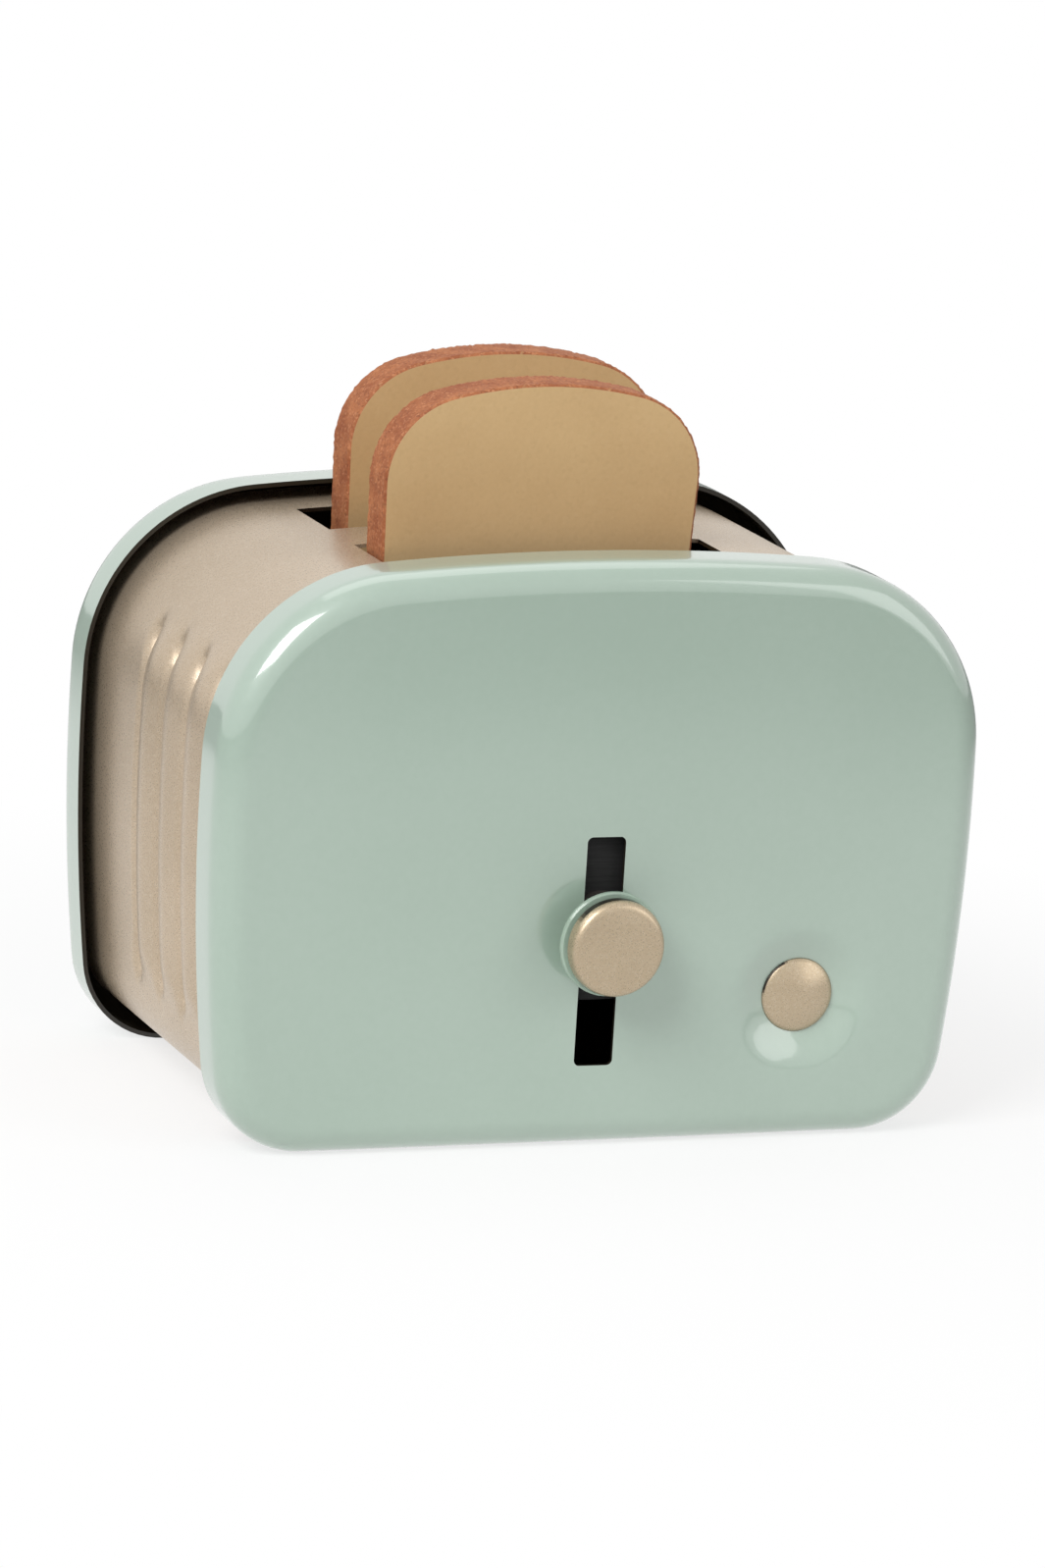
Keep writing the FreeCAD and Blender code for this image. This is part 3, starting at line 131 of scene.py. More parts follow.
def range_node(tree, value, low, high, new_low=0.0, new_high=1.0):
    """Stretch the range low to high of a value onto new limits, and clamp it."""
    node = tree.nodes.new("ShaderNodeMapRange")
    for name, limit in (("From Min", low), ("From Max", high), ("To Min", new_low), ("To Max", new_high)):
        node.inputs[name].default_value = limit
    feed(tree, value, node.inputs["Value"])
    return node.outputs["Result"]


def mix_colours(tree, factor, first, second):
    """Mix two colours, each a constant or a socket, by a factor."""
    node = tree.nodes.new("ShaderNodeMix")
    node.data_type = "RGBA"
    for value, socket in ((factor, node.inputs[0]), (first, node.inputs[6]), (second, node.inputs[7])):
        feed(tree, value, socket)
    return node.outputs[2]


def mix_shaders(tree, factor, first, second):
    """The first shader where the factor is 0, and the second where it is 1."""
    node = tree.nodes.new("ShaderNodeMixShader")
    for value, socket in zip((factor, first, second), node.inputs):
        feed(tree, value, socket)
    return node.outputs[0]


def object_place(tree):
    """A point's own place in metres, which moves with its piece."""
    return tree.nodes.new("ShaderNodeTexCoord").outputs["Object"]


print("node helpers ready")

# %% [markdown]
# ## Light and background
# The photograph is a catalogue shot on white. Three broad lamps give soft light with the key from the
# upper left. The world could be white for everything, but that would flatten the shading. So it is
# white only where the camera, a reflection or clear plastic looks at it, and dimmer as a light.

# %% World and lamps
ROOM_LIGHT, PLAIN_WHITE = 0.34, 1.0
LAMP_AIM = Vector((0, 0, 0.03))


def background(tree, strength):
    """White light of a given strength from all round."""
    node = tree.nodes.new("ShaderNodeBackground")
    node.inputs["Color"].default_value = (1, 1, 1, 1)
    node.inputs["Strength"].default_value = strength
    return node.outputs[0]


def build_world():
    """Room light for surfaces, plain white for camera, glossy and transmission rays."""
    world = bpy.data.worlds.new("studio")
    world.use_nodes = True
    tree = world.node_tree
    tree.nodes.clear()
    rays = tree.nodes.new("ShaderNodeLightPath").outputs
    seen = math_node(tree, "MAXIMUM", rays["Is Camera Ray"], rays["Is Glossy Ray"])
    seen = math_node(tree, "MAXIMUM", seen, rays["Is Transmission Ray"])
    light = mix_shaders(tree, seen, background(tree, ROOM_LIGHT), background(tree, PLAIN_WHITE))
    feed(tree, light, tree.nodes.new("ShaderNodeOutputWorld").inputs["Surface"])
    scene.world = world


def add_lamp(name, place, width, height, watts):
    """A rectangular lamp at a place, turned so that it faces the toaster."""
    data = bpy.data.lights.new(name, "AREA")
    data.shape = "RECTANGLE"
    data.size, data.size_y = width, height
    data.energy = watts
    lamp = bpy.data.objects.new(name, data)
    scene.collection.objects.link(lamp)
    lamp.location = place
    lamp.rotation_mode = "QUATERNION"
    lamp.rotation_quaternion = (LAMP_AIM - Vector(place)).to_track_quat("-Z", "Y")


build_world()
add_lamp("key_lamp", place=(-0.42, -0.30, 0.48), width=0.35, height=0.35, watts=3.4)
add_lamp("fill_lamp", place=(0.50, -0.45, 0.30), width=0.45, height=0.45, watts=1.0)
add_lamp("top_lamp", place=(0.05, 0.20, 0.60), width=0.5, height=0.35, watts=0.6)

# %% [markdown]
# ## Floor
# The photograph has no floor line, only a soft shadow that fades into white. A curved backdrop would
# do, but one large square with its own material is simpler. Glossy enamel mirrors it as a white
# sheet that ends some way out, which gives the covers their lighter lower part.

# %% Floor
FLOOR_REACH = 3.0
SHEET_COLOUR, GROUND_COLOUR = (0.93, 0.93, 0.93, 1), (0.33, 0.33, 0.33, 1)
SHEET_EDGE, MIRRORED_EDGE, SHADOW_EDGE = (0.15, 0.23), (0.15, 0.20), (0.03, 0.11)
WHITE_IN_SHADOW = 0.72


def floor_material():
    """A sheet on darker ground, with three shares that change with the distance from the middle.

    The camera sees plain white, but near the toaster part of it is true shading, which keeps the
    shadow. Glossy rays see plain white as far as the sheet's edge."""
    material = bpy.data.materials.new("pale_floor")
    material.use_nodes = True
    tree = material.node_tree
    distance = vector_node(tree, "LENGTH", object_place(tree))
    ground = mix_colours(tree, range_node(tree, distance, *SHEET_EDGE), SHEET_COLOUR, GROUND_COLOUR)
    shader = tree.nodes["Principled BSDF"]
    feed(tree, ground, shader.inputs["Base Color"])
    shader.inputs["Roughness"].default_value = 0.9
    shader.inputs["Specular IOR Level"].default_value = 0.1
    white = tree.nodes.new("ShaderNodeEmission")
    white.inputs["Strength"].default_value = PLAIN_WHITE
    rays = tree.nodes.new("ShaderNodeLightPath").outputs
    fade = range_node(tree, distance, *SHADOW_EDGE, new_low=WHITE_IN_SHADOW, new_high=1.0)
    seen = math_node(tree, "MULTIPLY", rays["Is Camera Ray"], fade)
    sheet = range_node(tree, distance, *MIRRORED_EDGE, new_low=1.0, new_high=0.0)
    share = math_node(tree, "MULTIPLY_ADD", rays["Is Glossy Ray"], sheet, seen)
    surface = mix_shaders(tree, share, shader.outputs[0], white.outputs[0])
    feed(tree, surface, tree.nodes["Material Output"].inputs["Surface"])
    return material


floor_mesh = bpy.data.meshes.new("floor")
floor_corners = FLOOR_REACH * np.array([[-1, -1, 0], [1, -1, 0], [1, 1, 0], [-1, 1, 0]])
floor_mesh.from_pydata(floor_corners.tolist(), [], [(0, 1, 2, 3)])
floor_mesh.materials.append(floor_material())
floor = bpy.data.objects.new("floor", floor_mesh)
scene.collection.objects.link(floor)
print("floor at z = 0")

# %% [markdown]
# ## Shared effects
# Paint, tin and board each show small changes of tone, a little texture and some wear. Each effect
# could be built anew in every material. A shader node group makes it once instead, and a material
# places it with its own numbers. Groups give out colours and values only, so that the Principled
# shader stays in the material.

# %% Group helpers
GROUPS = {}


def new_group(name, inputs, outputs):
    """An empty shader group with named sockets; returns its tree and its two end nodes."""
    tree = bpy.data.node_groups.new(name, "ShaderNodeTree")
    for label, kind, value in inputs:
        socket = tree.interface.new_socket(name=label, in_out="INPUT", socket_type=kind)
        socket.default_value = value
    for label, kind in outputs:
        tree.interface.new_socket(name=label, in_out="OUTPUT", socket_type=kind)
    return tree, tree.nodes.new("NodeGroupInput"), tree.nodes.new("NodeGroupOutput")


def noise_node(tree, coordinates, scale, detail):
    """Soft noise; scale is a number, or a socket that gives one."""
    node = tree.nodes.new("ShaderNodeTexNoise")
    for name, value in (("Vector", coordinates), ("Scale", scale), ("Detail", detail)):
        feed(tree, value, node.inputs[name])
    return node.outputs[0]


print("group helpers ready")

# %% [markdown]
# ### Cloudy tone
# Any coat of paint changes its shade slowly from place to place. Slow noise gives that change, and a
# share of fine noise breaks up its borders. Noise values crowd round a half, so the middle of their
# range is stretched to use both tones in full.

# %% Cloudy tone
SLOW_SHARE, FINE_SHARE = 0.75, 0.25
TONE_SPREAD, GRAIN_SPREAD = (0.35, 0.65), (0.3, 0.7)


def cloudy_tone_group():
    """Colour = light or dark tone, picked by slow and fine noise; Height is the fine noise alone."""
    tree, entry, leave = new_group(
        "cloudy_tone",
        [("Light", "NodeSocketColor", (1, 1, 1, 1)), ("Dark", "NodeSocketColor", (0, 0, 0, 1)),
         ("Cloud Scale", "NodeSocketFloat", 40.0), ("Grain Scale", "NodeSocketFloat", 900.0)],
        [("Color", "NodeSocketColor"), ("Height", "NodeSocketFloat")])
    place = object_place(tree)
    cloud = noise_node(tree, place, entry.outputs["Cloud Scale"], detail=2.0)
    grain = noise_node(tree, place, entry.outputs["Grain Scale"], detail=2.0)
    blend = math_node(tree, "ADD", math_node(tree, "MULTIPLY", cloud, SLOW_SHARE),
                      math_node(tree, "MULTIPLY", grain, FINE_SHARE))
    factor = range_node(tree, blend, *TONE_SPREAD)
    tone = mix_colours(tree, factor, entry.outputs["Dark"], entry.outputs["Light"])
    feed(tree, tone, leave.inputs["Color"])
    feed(tree, grain, leave.inputs["Height"])
    return tree


GROUPS["tone"] = cloudy_tone_group()
print("made", GROUPS["tone"].name)

# %% [markdown]
# ### Flake
# Champagne paint holds fine metal, and board has light and dark specks. Noise would blur such
# grains. Voronoi cells have sharp borders, and each has random numbers of its own, one of which
# picks the cells that glint, another those that are dark, and the third is the height.

# %% Flake
GLINT_FROM, SHADE_FROM = 0.72, 0.70


def flake_group():
    """Colour = base paint, lightened or darkened cell by cell; Height follows the same cells."""
    tree, entry, leave = new_group(
        "metal_flake",
        [("Color", "NodeSocketColor", (1, 1, 1, 1)), ("Glint", "NodeSocketColor", (1, 1, 1, 1)),
         ("Shade", "NodeSocketColor", (0, 0, 0, 1)), ("Scale", "NodeSocketFloat", 5000.0),
         ("Strength", "NodeSocketFloat", 0.3)],
        [("Color", "NodeSocketColor"), ("Height", "NodeSocketFloat")])
    cells = tree.nodes.new("ShaderNodeTexVoronoi")
    feed(tree, object_place(tree), cells.inputs["Vector"])
    feed(tree, entry.outputs["Scale"], cells.inputs["Scale"])
    split = tree.nodes.new("ShaderNodeSeparateColor")
    feed(tree, cells.outputs["Color"], split.inputs[0])
    colour = entry.outputs["Color"]
    for random_number, start, tone in ((0, GLINT_FROM, "Glint"), (1, SHADE_FROM, "Shade")):
        picked = range_node(tree, split.outputs[random_number], start, 1.0)
        share = math_node(tree, "MULTIPLY", picked, entry.outputs["Strength"])
        colour = mix_colours(tree, share, colour, entry.outputs[tone])
    feed(tree, colour, leave.inputs["Color"])
    feed(tree, split.outputs[2], leave.inputs["Height"])
    return tree


GROUPS["flake"] = flake_group()
print("made", GROUPS["flake"].name)

# %% [markdown]
# ### Edge wear
# Paint is thinner along edges, where hands rub it. Painting a mask by hand would tie it to one mesh.
# The Bevel node rounds the normal near an edge, so the angle between that and the true normal finds
# every edge, and noise breaks the mask into patches.

# %% Edge wear
WEAR_COSINES = (0.98, 0.80)
PATCH_SCALE, PATCH_SPREAD = 350.0, (0.42, 0.62)


def edge_wear_group():
    """Mask = 1 where the rounded normal and the true normal differ, broken up by noise."""
    tree, entry, leave = new_group(
        "edge_wear",
        [("Radius", "NodeSocketFloat", 0.0004), ("Amount", "NodeSocketFloat", 0.5)],
        [("Mask", "NodeSocketFloat")])
    rounded = tree.nodes.new("ShaderNodeBevel")
    rounded.samples = 4
    feed(tree, entry.outputs["Radius"], rounded.inputs["Radius"])
    true = tree.nodes.new("ShaderNodeNewGeometry")
    cosine = vector_node(tree, "DOT_PRODUCT", rounded.outputs[0], true.outputs["Normal"])
    edge = range_node(tree, cosine, *WEAR_COSINES)
    patches = noise_node(tree, object_place(tree), PATCH_SCALE, detail=4.0)
    patches = range_node(tree, patches, *PATCH_SPREAD)
    mask = math_node(tree, "MULTIPLY", math_node(tree, "MULTIPLY", edge, patches), entry.outputs["Amount"])
    feed(tree, mask, leave.inputs["Mask"])
    return tree


GROUPS["wear"] = edge_wear_group()
print("made", GROUPS["wear"].name)

# %% [markdown]
# ### Inside of the shell
# Faces of the covers and the band that turn towards the middle get a dark brown: painted shade
# for the gap between cover and band and for the openings. A second material on the inner faces would
# need them to be told apart in every mesh. Here the shader asks which way a surface faces.

# %% Inside of the shell
SHELL_MIDDLE, INSIDE_LIMIT = (0.0, 0.0025, 0.027), -0.0015


def inside_group():
    """Mask = 1 where the surface faces the middle of the toaster: the inside of covers and band.

    It is the dot product of the normal with the line from the middle to the point, below zero."""
    tree, entry, leave = new_group("faces_inwards", [("Middle", "NodeSocketVector", SHELL_MIDDLE)],
                                   [("Mask", "NodeSocketFloat")])
    shape = tree.nodes.new("ShaderNodeNewGeometry")
    outward = vector_node(tree, "SUBTRACT", object_place(tree), entry.outputs["Middle"])
    facing = vector_node(tree, "DOT_PRODUCT", outward, shape.outputs["True Normal"])
    feed(tree, range_node(tree, facing, 0.0, INSIDE_LIMIT), leave.inputs["Mask"])
    return tree


GROUPS["inside"] = inside_group()
print("groups:", sorted(GROUPS))

# %% [markdown]
# ## Starting a material
# Every finish starts from the Principled shader, which covers paint, metal, plastic and board, and
# adds groups and a little bump. Colours could be typed in as linear light, but they are easier to
# judge on a picture editor's scale of 0 to 255, from which a formula turns them into linear light.

# %% Start a material
def srgb(red, green, blue):
    """A colour on the 0 to 255 scale as linear light, with alpha 1."""
    channels = np.array([red, green, blue]) / 255.0
    linear = np.where(channels <= 0.04045, channels / 12.92, ((channels + 0.055) / 1.055) ** 2.4)
    return (*[float(value) for value in linear], 1.0)


def start_material(name, roughness=0.5, metallic=0.0):
    """A material with its Principled shader, ready for groups to feed it."""
    material = bpy.data.materials.new(name)
    material.use_nodes = True
    shader = material.node_tree.nodes["Principled BSDF"]
    shader.inputs["Roughness"].default_value = roughness
    shader.inputs["Metallic"].default_value = metallic
    return material, material.node_tree, shader


def place_group(tree, key, **values):
    """Place a shared group; an underscore in a keyword stands for the space in a socket's name."""
    node = tree.nodes.new("ShaderNodeGroup")
    node.node_tree = GROUPS[key]
    for label, value in values.items():
        feed(tree, value, node.inputs[label.replace("_", " ")])
    return node.outputs


def bump_from(tree, shader, height, strength, distance):
    """Tilt the normals as if the height, 0 to 1, stood out by the distance in metres."""
    bump = tree.nodes.new("ShaderNodeBump")
    for name, value in (("Strength", strength), ("Distance", distance), ("Height", height)):
        feed(tree, value, bump.inputs[name])
    feed(tree, bump.outputs[0], shader.inputs["Normal"])


def paint_with_shaded_inside(tree, paint, worn, inside_shade, radius, amount):
    """The paint's colour, lighter where edges wear, and a dark painted shade on faces turned towards the
    middle; also the inside mask.
    """
    wear = place_group(tree, "wear", Radius=radius, Amount=amount)["Mask"]
    inside = place_group(tree, "inside")["Mask"]
    return mix_colours(tree, inside, mix_colours(tree, wear, paint, worn), inside_shade), inside


print("material helpers ready")

# %% [markdown]
# ## Mint enamel
# The covers are stoved enamel on tin: smooth, softly glossy, with a very shallow orange-peel texture
# and a cloudy change of tone. Gloss could come from a low roughness alone, but that looks like wet
# plastic. A rougher base under a clear coat gives the soft sheen along the rounded edges.

# %% Mint enamel
def mint_enamel():
    """Two close mint tones; the fine noise also moves roughness and height. The coat stays outside."""
    material, tree, shader = start_material("mint_enamel")
    tone = place_group(tree, "tone", Light=srgb(166, 185, 171), Dark=srgb(160, 180, 165),
                       Cloud_Scale=28.0, Grain_Scale=1500.0)
    # The dark brown on faces towards the middle is painted shade, for the gap round the band.
    colour, inside = paint_with_shaded_inside(tree, tone["Color"], worn=srgb(205, 215, 203),
                                     inside_shade=srgb(34, 30, 22), radius=0.0003, amount=0.35)
    feed(tree, colour, shader.inputs["Base Color"])
    rough = range_node(tree, tone["Height"], *GRAIN_SPREAD, new_low=0.32, new_high=0.40)
    feed(tree, rough, shader.inputs["Roughness"])
    coat = range_node(tree, inside, 0.0, 1.0, new_low=1.0, new_high=0.0)
    feed(tree, coat, shader.inputs["Coat Weight"])
    shader.inputs["Coat Roughness"].default_value = 0.10
    shader.inputs["Coat IOR"].default_value = 1.75
    bump_from(tree, shader, tone["Height"], strength=0.05, distance=0.00003)
    return material


MINT = mint_enamel()
print("made", MINT.name)

# %% [markdown]
# ## Champagne flake paint
# The band, the knob and the button wear a metallic paint: warm beige with fine bright and dark
# flake. A fully metallic shader would turn dark wherever it mirrors little, so it is part metal,
# with medium roughness, and the flake changes colour, roughness and height.

# %% Champagne paints
METAL_SHARE, FLAKE_STRENGTH = 0.58, 0.22


def champagne_paint(name, light, dark, flake_scale, roughness, wear_amount):
    """Cloudy beige under flake; a flake's height also makes it smoother or rougher than the rest."""
    material, tree, shader = start_material(name, roughness=roughness, metallic=METAL_SHARE)
    tone = place_group(tree, "tone", Light=light, Dark=dark, Cloud_Scale=60.0, Grain_Scale=2500.0)
    flake = place_group(tree, "flake", Color=tone["Color"], Glint=srgb(250, 240, 225),
                        Shade=srgb(150, 128, 104), Scale=flake_scale, Strength=FLAKE_STRENGTH)
    # The dark brown on faces towards the middle is painted shade: inside the band's bread slots, and on the
    # backs of the knob's cap and the button.
    colour, _ = paint_with_shaded_inside(tree, flake["Color"], worn=srgb(225, 214, 196),
                                inside_shade=srgb(40, 34, 26), radius=0.00015, amount=wear_amount)
    feed(tree, colour, shader.inputs["Base Color"])
    rough = range_node(tree, flake["Height"], 0, 1, new_low=roughness - 0.08, new_high=roughness + 0.10)
    feed(tree, rough, shader.inputs["Roughness"])
    bump_from(tree, shader, flake["Height"], strength=0.12, distance=0.00004)
    return material


BAND_PAINT = champagne_paint("champagne_flake_paint", light=srgb(196, 178, 155), dark=srgb(184, 166, 142),
                             flake_scale=12000.0, roughness=0.34, wear_amount=0.05)
KNOB_PAINT = champagne_paint("champagne_metal", light=srgb(186, 168, 141), dark=srgb(178, 160, 133),
                             flake_scale=14000.0, roughness=0.34, wear_amount=0.2)
print("made", BAND_PAINT.name, "and", KNOB_PAINT.name)

# %% [markdown]
# ## Inner metals
# Rails, cradles and rivets are bare tin and steel, and the spring is drawn wire. The carriage is
# near-black, a painted shade that keeps the slot as dark as deep shade. Rolled and drawn metal has a
# grain along one direction. A stretched noise gives it without a picture of brushed metal.

# %% Inner metals
def bare_tin(name, light, dark, roughness, stretch, metallic=0.9, worn=(228, 228, 224)):
    """Noise squeezed along one axis looks like the grain of rolled or drawn metal."""
    material, tree, shader = start_material(name, roughness=roughness, metallic=metallic)
    squeeze = tree.nodes.new("ShaderNodeMapping")
    squeeze.inputs["Scale"].default_value = stretch
    feed(tree, object_place(tree), squeeze.inputs["Vector"])
    grain = noise_node(tree, squeeze.outputs[0], scale=1.0, detail=4.0)
    colour = mix_colours(tree, range_node(tree, grain, *TONE_SPREAD), srgb(*dark), srgb(*light))
    wear = place_group(tree, "wear", Radius=0.0002, Amount=0.5)["Mask"]
    feed(tree, mix_colours(tree, wear, colour, srgb(*worn)), shader.inputs["Base Color"])
    rough = range_node(tree, grain, *GRAIN_SPREAD, new_low=roughness - 0.07, new_high=roughness + 0.1)
    feed(tree, rough, shader.inputs["Roughness"])
    bump_from(tree, shader, grain, strength=0.1, distance=0.00003)
    return material


ROLLED, DRAWN, FORGED = (300.0, 300.0, 4000.0), (2500.0, 400.0, 400.0), (1800.0, 1800.0, 1800.0)
TIN = bare_tin("plain_tin", (200, 200, 196), (170, 170, 166), roughness=0.38, stretch=ROLLED)
SPRING_STEEL = bare_tin("spring_wire", (176, 178, 180), (140, 142, 146), roughness=0.3, stretch=DRAWN)
RIVET_STEEL = bare_tin("rivet_steel", (190, 188, 182), (160, 158, 152), roughness=0.35, stretch=FORGED)
# The carriage's near-black is painted shade for the dark inside seen through the slot.
SLOT_SHADE_BLACK = bare_tin("slot_shade_black", (9, 9, 9), (5, 5, 5), roughness=0.8, stretch=ROLLED,
                   metallic=0.0, worn=(16, 15, 14))
print("made", [item.name for item in (TIN, SPRING_STEEL, RIVET_STEEL, SLOT_SHADE_BLACK)])

# %% [markdown]
# ## Fibre and clear plastic
# The friction washer behind the cover is pressed fibre, dull and rough. The washer behind the knob
# is clear plastic that looks mint over the cover. It is tinted and lets only part of the light
# through, because fully clear plastic would hardly show on the enamel.

# %% Washer materials
def fibre_board():
    """Dark brown in coarse clouds; the fine noise stands out as the rough face."""
    material, tree, shader = start_material("fibre_washer", roughness=0.85)
    tone = place_group(tree, "tone", Light=srgb(38, 32, 27), Dark=srgb(22, 18, 15),
                       Cloud_Scale=600.0, Grain_Scale=5000.0)
    feed(tree, tone["Color"], shader.inputs["Base Color"])
    bump_from(tree, shader, tone["Height"], strength=0.4, distance=0.00005)
    return material


def washer_plastic():
    """Tinted and partly clear; fine rubbing marks change its gloss."""
    material, tree, shader = start_material("clear_mint_plastic", roughness=0.2)
    tone = place_group(tree, "tone", Light=srgb(206, 226, 209), Dark=srgb(192, 215, 197),
                       Cloud_Scale=200.0, Grain_Scale=3000.0)
    feed(tree, tone["Color"], shader.inputs["Base Color"])
    rough = range_node(tree, tone["Height"], *GRAIN_SPREAD, new_low=0.12, new_high=0.26)
    feed(tree, rough, shader.inputs["Roughness"])
    shader.inputs["Transmission Weight"].default_value = 0.45
    shader.inputs["IOR"].default_value = 1.46
    return material


FIBRE = fibre_board()
WASHER = washer_plastic()
print("made", FIBRE.name, "and", WASHER.name)

# %% [markdown]
# ## Toast
# Each slice is cut from board about 4 mm thick. The faces are a smooth printed tan with faint
# speckles, and the cut edge is a coarse, sandy reddish brown, like a crust. One material covers
# both: how far the surface normal turns away from Y tells edge from face.

# %% Toast finish
RIM_COSINES = (0.93, 0.80)


def toast_board():
    """Tan with faint flecks where the normal lies along Y, coarse red-brown flecks elsewhere."""
    material, tree, shader = start_material("toast_print", roughness=0.75)
    tan = place_group(tree, "tone", Light=srgb(213, 179, 130), Dark=srgb(205, 170, 122),
                      Cloud_Scale=90.0, Grain_Scale=2600.0)
    face = place_group(tree, "flake", Color=tan["Color"], Glint=srgb(222, 196, 152),
                       Shade=srgb(170, 134, 92), Scale=3000.0, Strength=0.08)
    brown = place_group(tree, "tone", Light=srgb(186, 117, 74), Dark=srgb(154, 86, 50),
                        Cloud_Scale=500.0, Grain_Scale=3800.0)
    crust = place_group(tree, "flake", Color=brown["Color"], Glint=srgb(214, 150, 108),
                        Shade=srgb(116, 60, 34), Scale=5200.0, Strength=0.55)
    axis = tree.nodes.new("ShaderNodeSeparateXYZ")
    feed(tree, tree.nodes.new("ShaderNodeNewGeometry").outputs["True Normal"], axis.inputs[0])
    rim = range_node(tree, math_node(tree, "ABSOLUTE", axis.outputs["Y"]), *RIM_COSINES)
    feed(tree, mix_colours(tree, rim, face["Color"], crust["Color"]), shader.inputs["Base Color"])
    coarse = range_node(tree, rim, 0, 1, new_low=0.08, new_high=1.0)
    height = math_node(tree, "MULTIPLY", crust["Height"], coarse)
    bump_from(tree, shader, height, strength=0.8, distance=0.00012)
    return material


TOAST = toast_board()
print("made", TOAST.name)

# %% [markdown]
# ## The toaster's outline
# Both covers and the band share one outline: a straight base, small bottom corners, sides that bulge
# slightly, round shoulders and an arched top. It could be drawn as a curve. A chain of circular arcs
# that meet without a kink was chosen because an arc's points and normals are exact, and the band is
# then the same outline moved inwards along the normals. From here on, shapes are worked out in mm.

# %% Arcs
MM = 0.001


def circles_meet(first, first_radius, second, second_radius):
    """The right-hand point where two circles cross: along the line of centres, then square to it."""
    between = second - first
    gap = np.hypot(*between)
    along = (first_radius ** 2 - second_radius ** 2 + gap ** 2) / (2 * gap)
    across = math.sqrt(first_radius ** 2 - along ** 2)
    unit = between / gap
    pair = [first + unit * along + sign * across * np.array([-unit[1], unit[0]]) for sign in (1, -1)]
    return max(pair, key=lambda point: point[0])


def arc(centre, radius, start, end, count):
    """Points at centre + radius * (cos a, sin a), with (cos a, sin a) as the normals; not the last."""
    turn = np.linspace(start, end, count, endpoint=False)
    normals = np.column_stack([np.cos(turn), np.sin(turn)])
    return np.hstack([centre + radius * normals, normals])


print("a quarter circle's first and last point:", arc(np.zeros(2), 1.0, 0, math.pi / 2, 6)[[0, -1], :2])

# %% [markdown]
# ### Joining the arcs
# Two arcs meet without a kink where their centres and the meeting point lie on one line. So a
# shoulder's centre is where the side's and the top's circles cross, each made smaller by the
# shoulder's radius, and the foot's centre follows in the same way from the side and the base.

# %% Outline
HALF_WIDTH, WIDEST_HEIGHT, COVER_HEIGHT = 35.0, 30.0, 51.5
SIDE_RADIUS, TOP_RADIUS, SHOULDER_RADIUS, FOOT_RADIUS = 190.0, 240.0, 16.5, 8.0
BAND_INSET = 1.8
SIDE_CENTRE = np.array([HALF_WIDTH - SIDE_RADIUS, WIDEST_HEIGHT])
TOP_CENTRE = np.array([0.0, COVER_HEIGHT - TOP_RADIUS])
FOOT_POINTS, SIDE_POINTS, SHOULDER_POINTS, BASE_POINTS, TOP_POINTS_PER_RADIAN = 14, 46, 28, 24, 190
MIRROR = np.array([-1.0, 1.0])


def toaster_outline(top_breaks=()):
    """Arc after arc round the toaster, anticlockwise from the right foot; columns x, z and the normal.

    top_breaks are x places on the band's top that must fall on a point, for the bread slots' ends."""
    rise = FOOT_RADIUS - SIDE_CENTRE[1]
    foot = SIDE_CENTRE + [math.sqrt((SIDE_RADIUS - FOOT_RADIUS) ** 2 - rise ** 2), rise]
    shoulder = circles_meet(SIDE_CENTRE, SIDE_RADIUS - SHOULDER_RADIUS,
                            TOP_CENTRE, TOP_RADIUS - SHOULDER_RADIUS)
    foot_turn = math.atan2(*(foot - SIDE_CENTRE)[::-1])
    side_turn = math.atan2(*(shoulder - SIDE_CENTRE)[::-1])
    top_turn = math.atan2(*(shoulder - TOP_CENTRE)[::-1])
    breaks = [math.acos(x / (TOP_RADIUS - BAND_INSET)) for x in sorted(top_breaks, reverse=True)]
    stops = [top_turn, *breaks, math.pi - top_turn]
    top = [arc(TOP_CENTRE, TOP_RADIUS, low, high, max(3, round((high - low) * TOP_POINTS_PER_RADIAN)))
           for low, high in zip(stops, stops[1:])]
    across = np.linspace(-foot[0], foot[0], BASE_POINTS, endpoint=False)
    base = np.column_stack([across, across * 0, across * 0, across * 0 - 1])
    return np.vstack([
        arc(foot, FOOT_RADIUS, -math.pi / 2, foot_turn, FOOT_POINTS),
        arc(SIDE_CENTRE, SIDE_RADIUS, foot_turn, side_turn, SIDE_POINTS),
        arc(shoulder, SHOULDER_RADIUS, side_turn, top_turn, SHOULDER_POINTS), *top,
        arc(shoulder * MIRROR, SHOULDER_RADIUS, math.pi - top_turn, math.pi - side_turn, SHOULDER_POINTS),
        arc(SIDE_CENTRE * MIRROR, SIDE_RADIUS, math.pi - side_turn, math.pi - foot_turn, SIDE_POINTS),
        arc(foot * MIRROR, FOOT_RADIUS, math.pi - foot_turn, 1.5 * math.pi, FOOT_POINTS), base])


print("outline points:", len(toaster_outline()))

# %% [markdown]
# ## Surfaces from rings
# Covers, band, knob and slices are all made alike: a loop of points is worked out many times, each a
# little further on, and neighbouring loops are joined by quads. Modelling with extrude and loop cuts
# gives such meshes too, but a formula can be changed by one number.

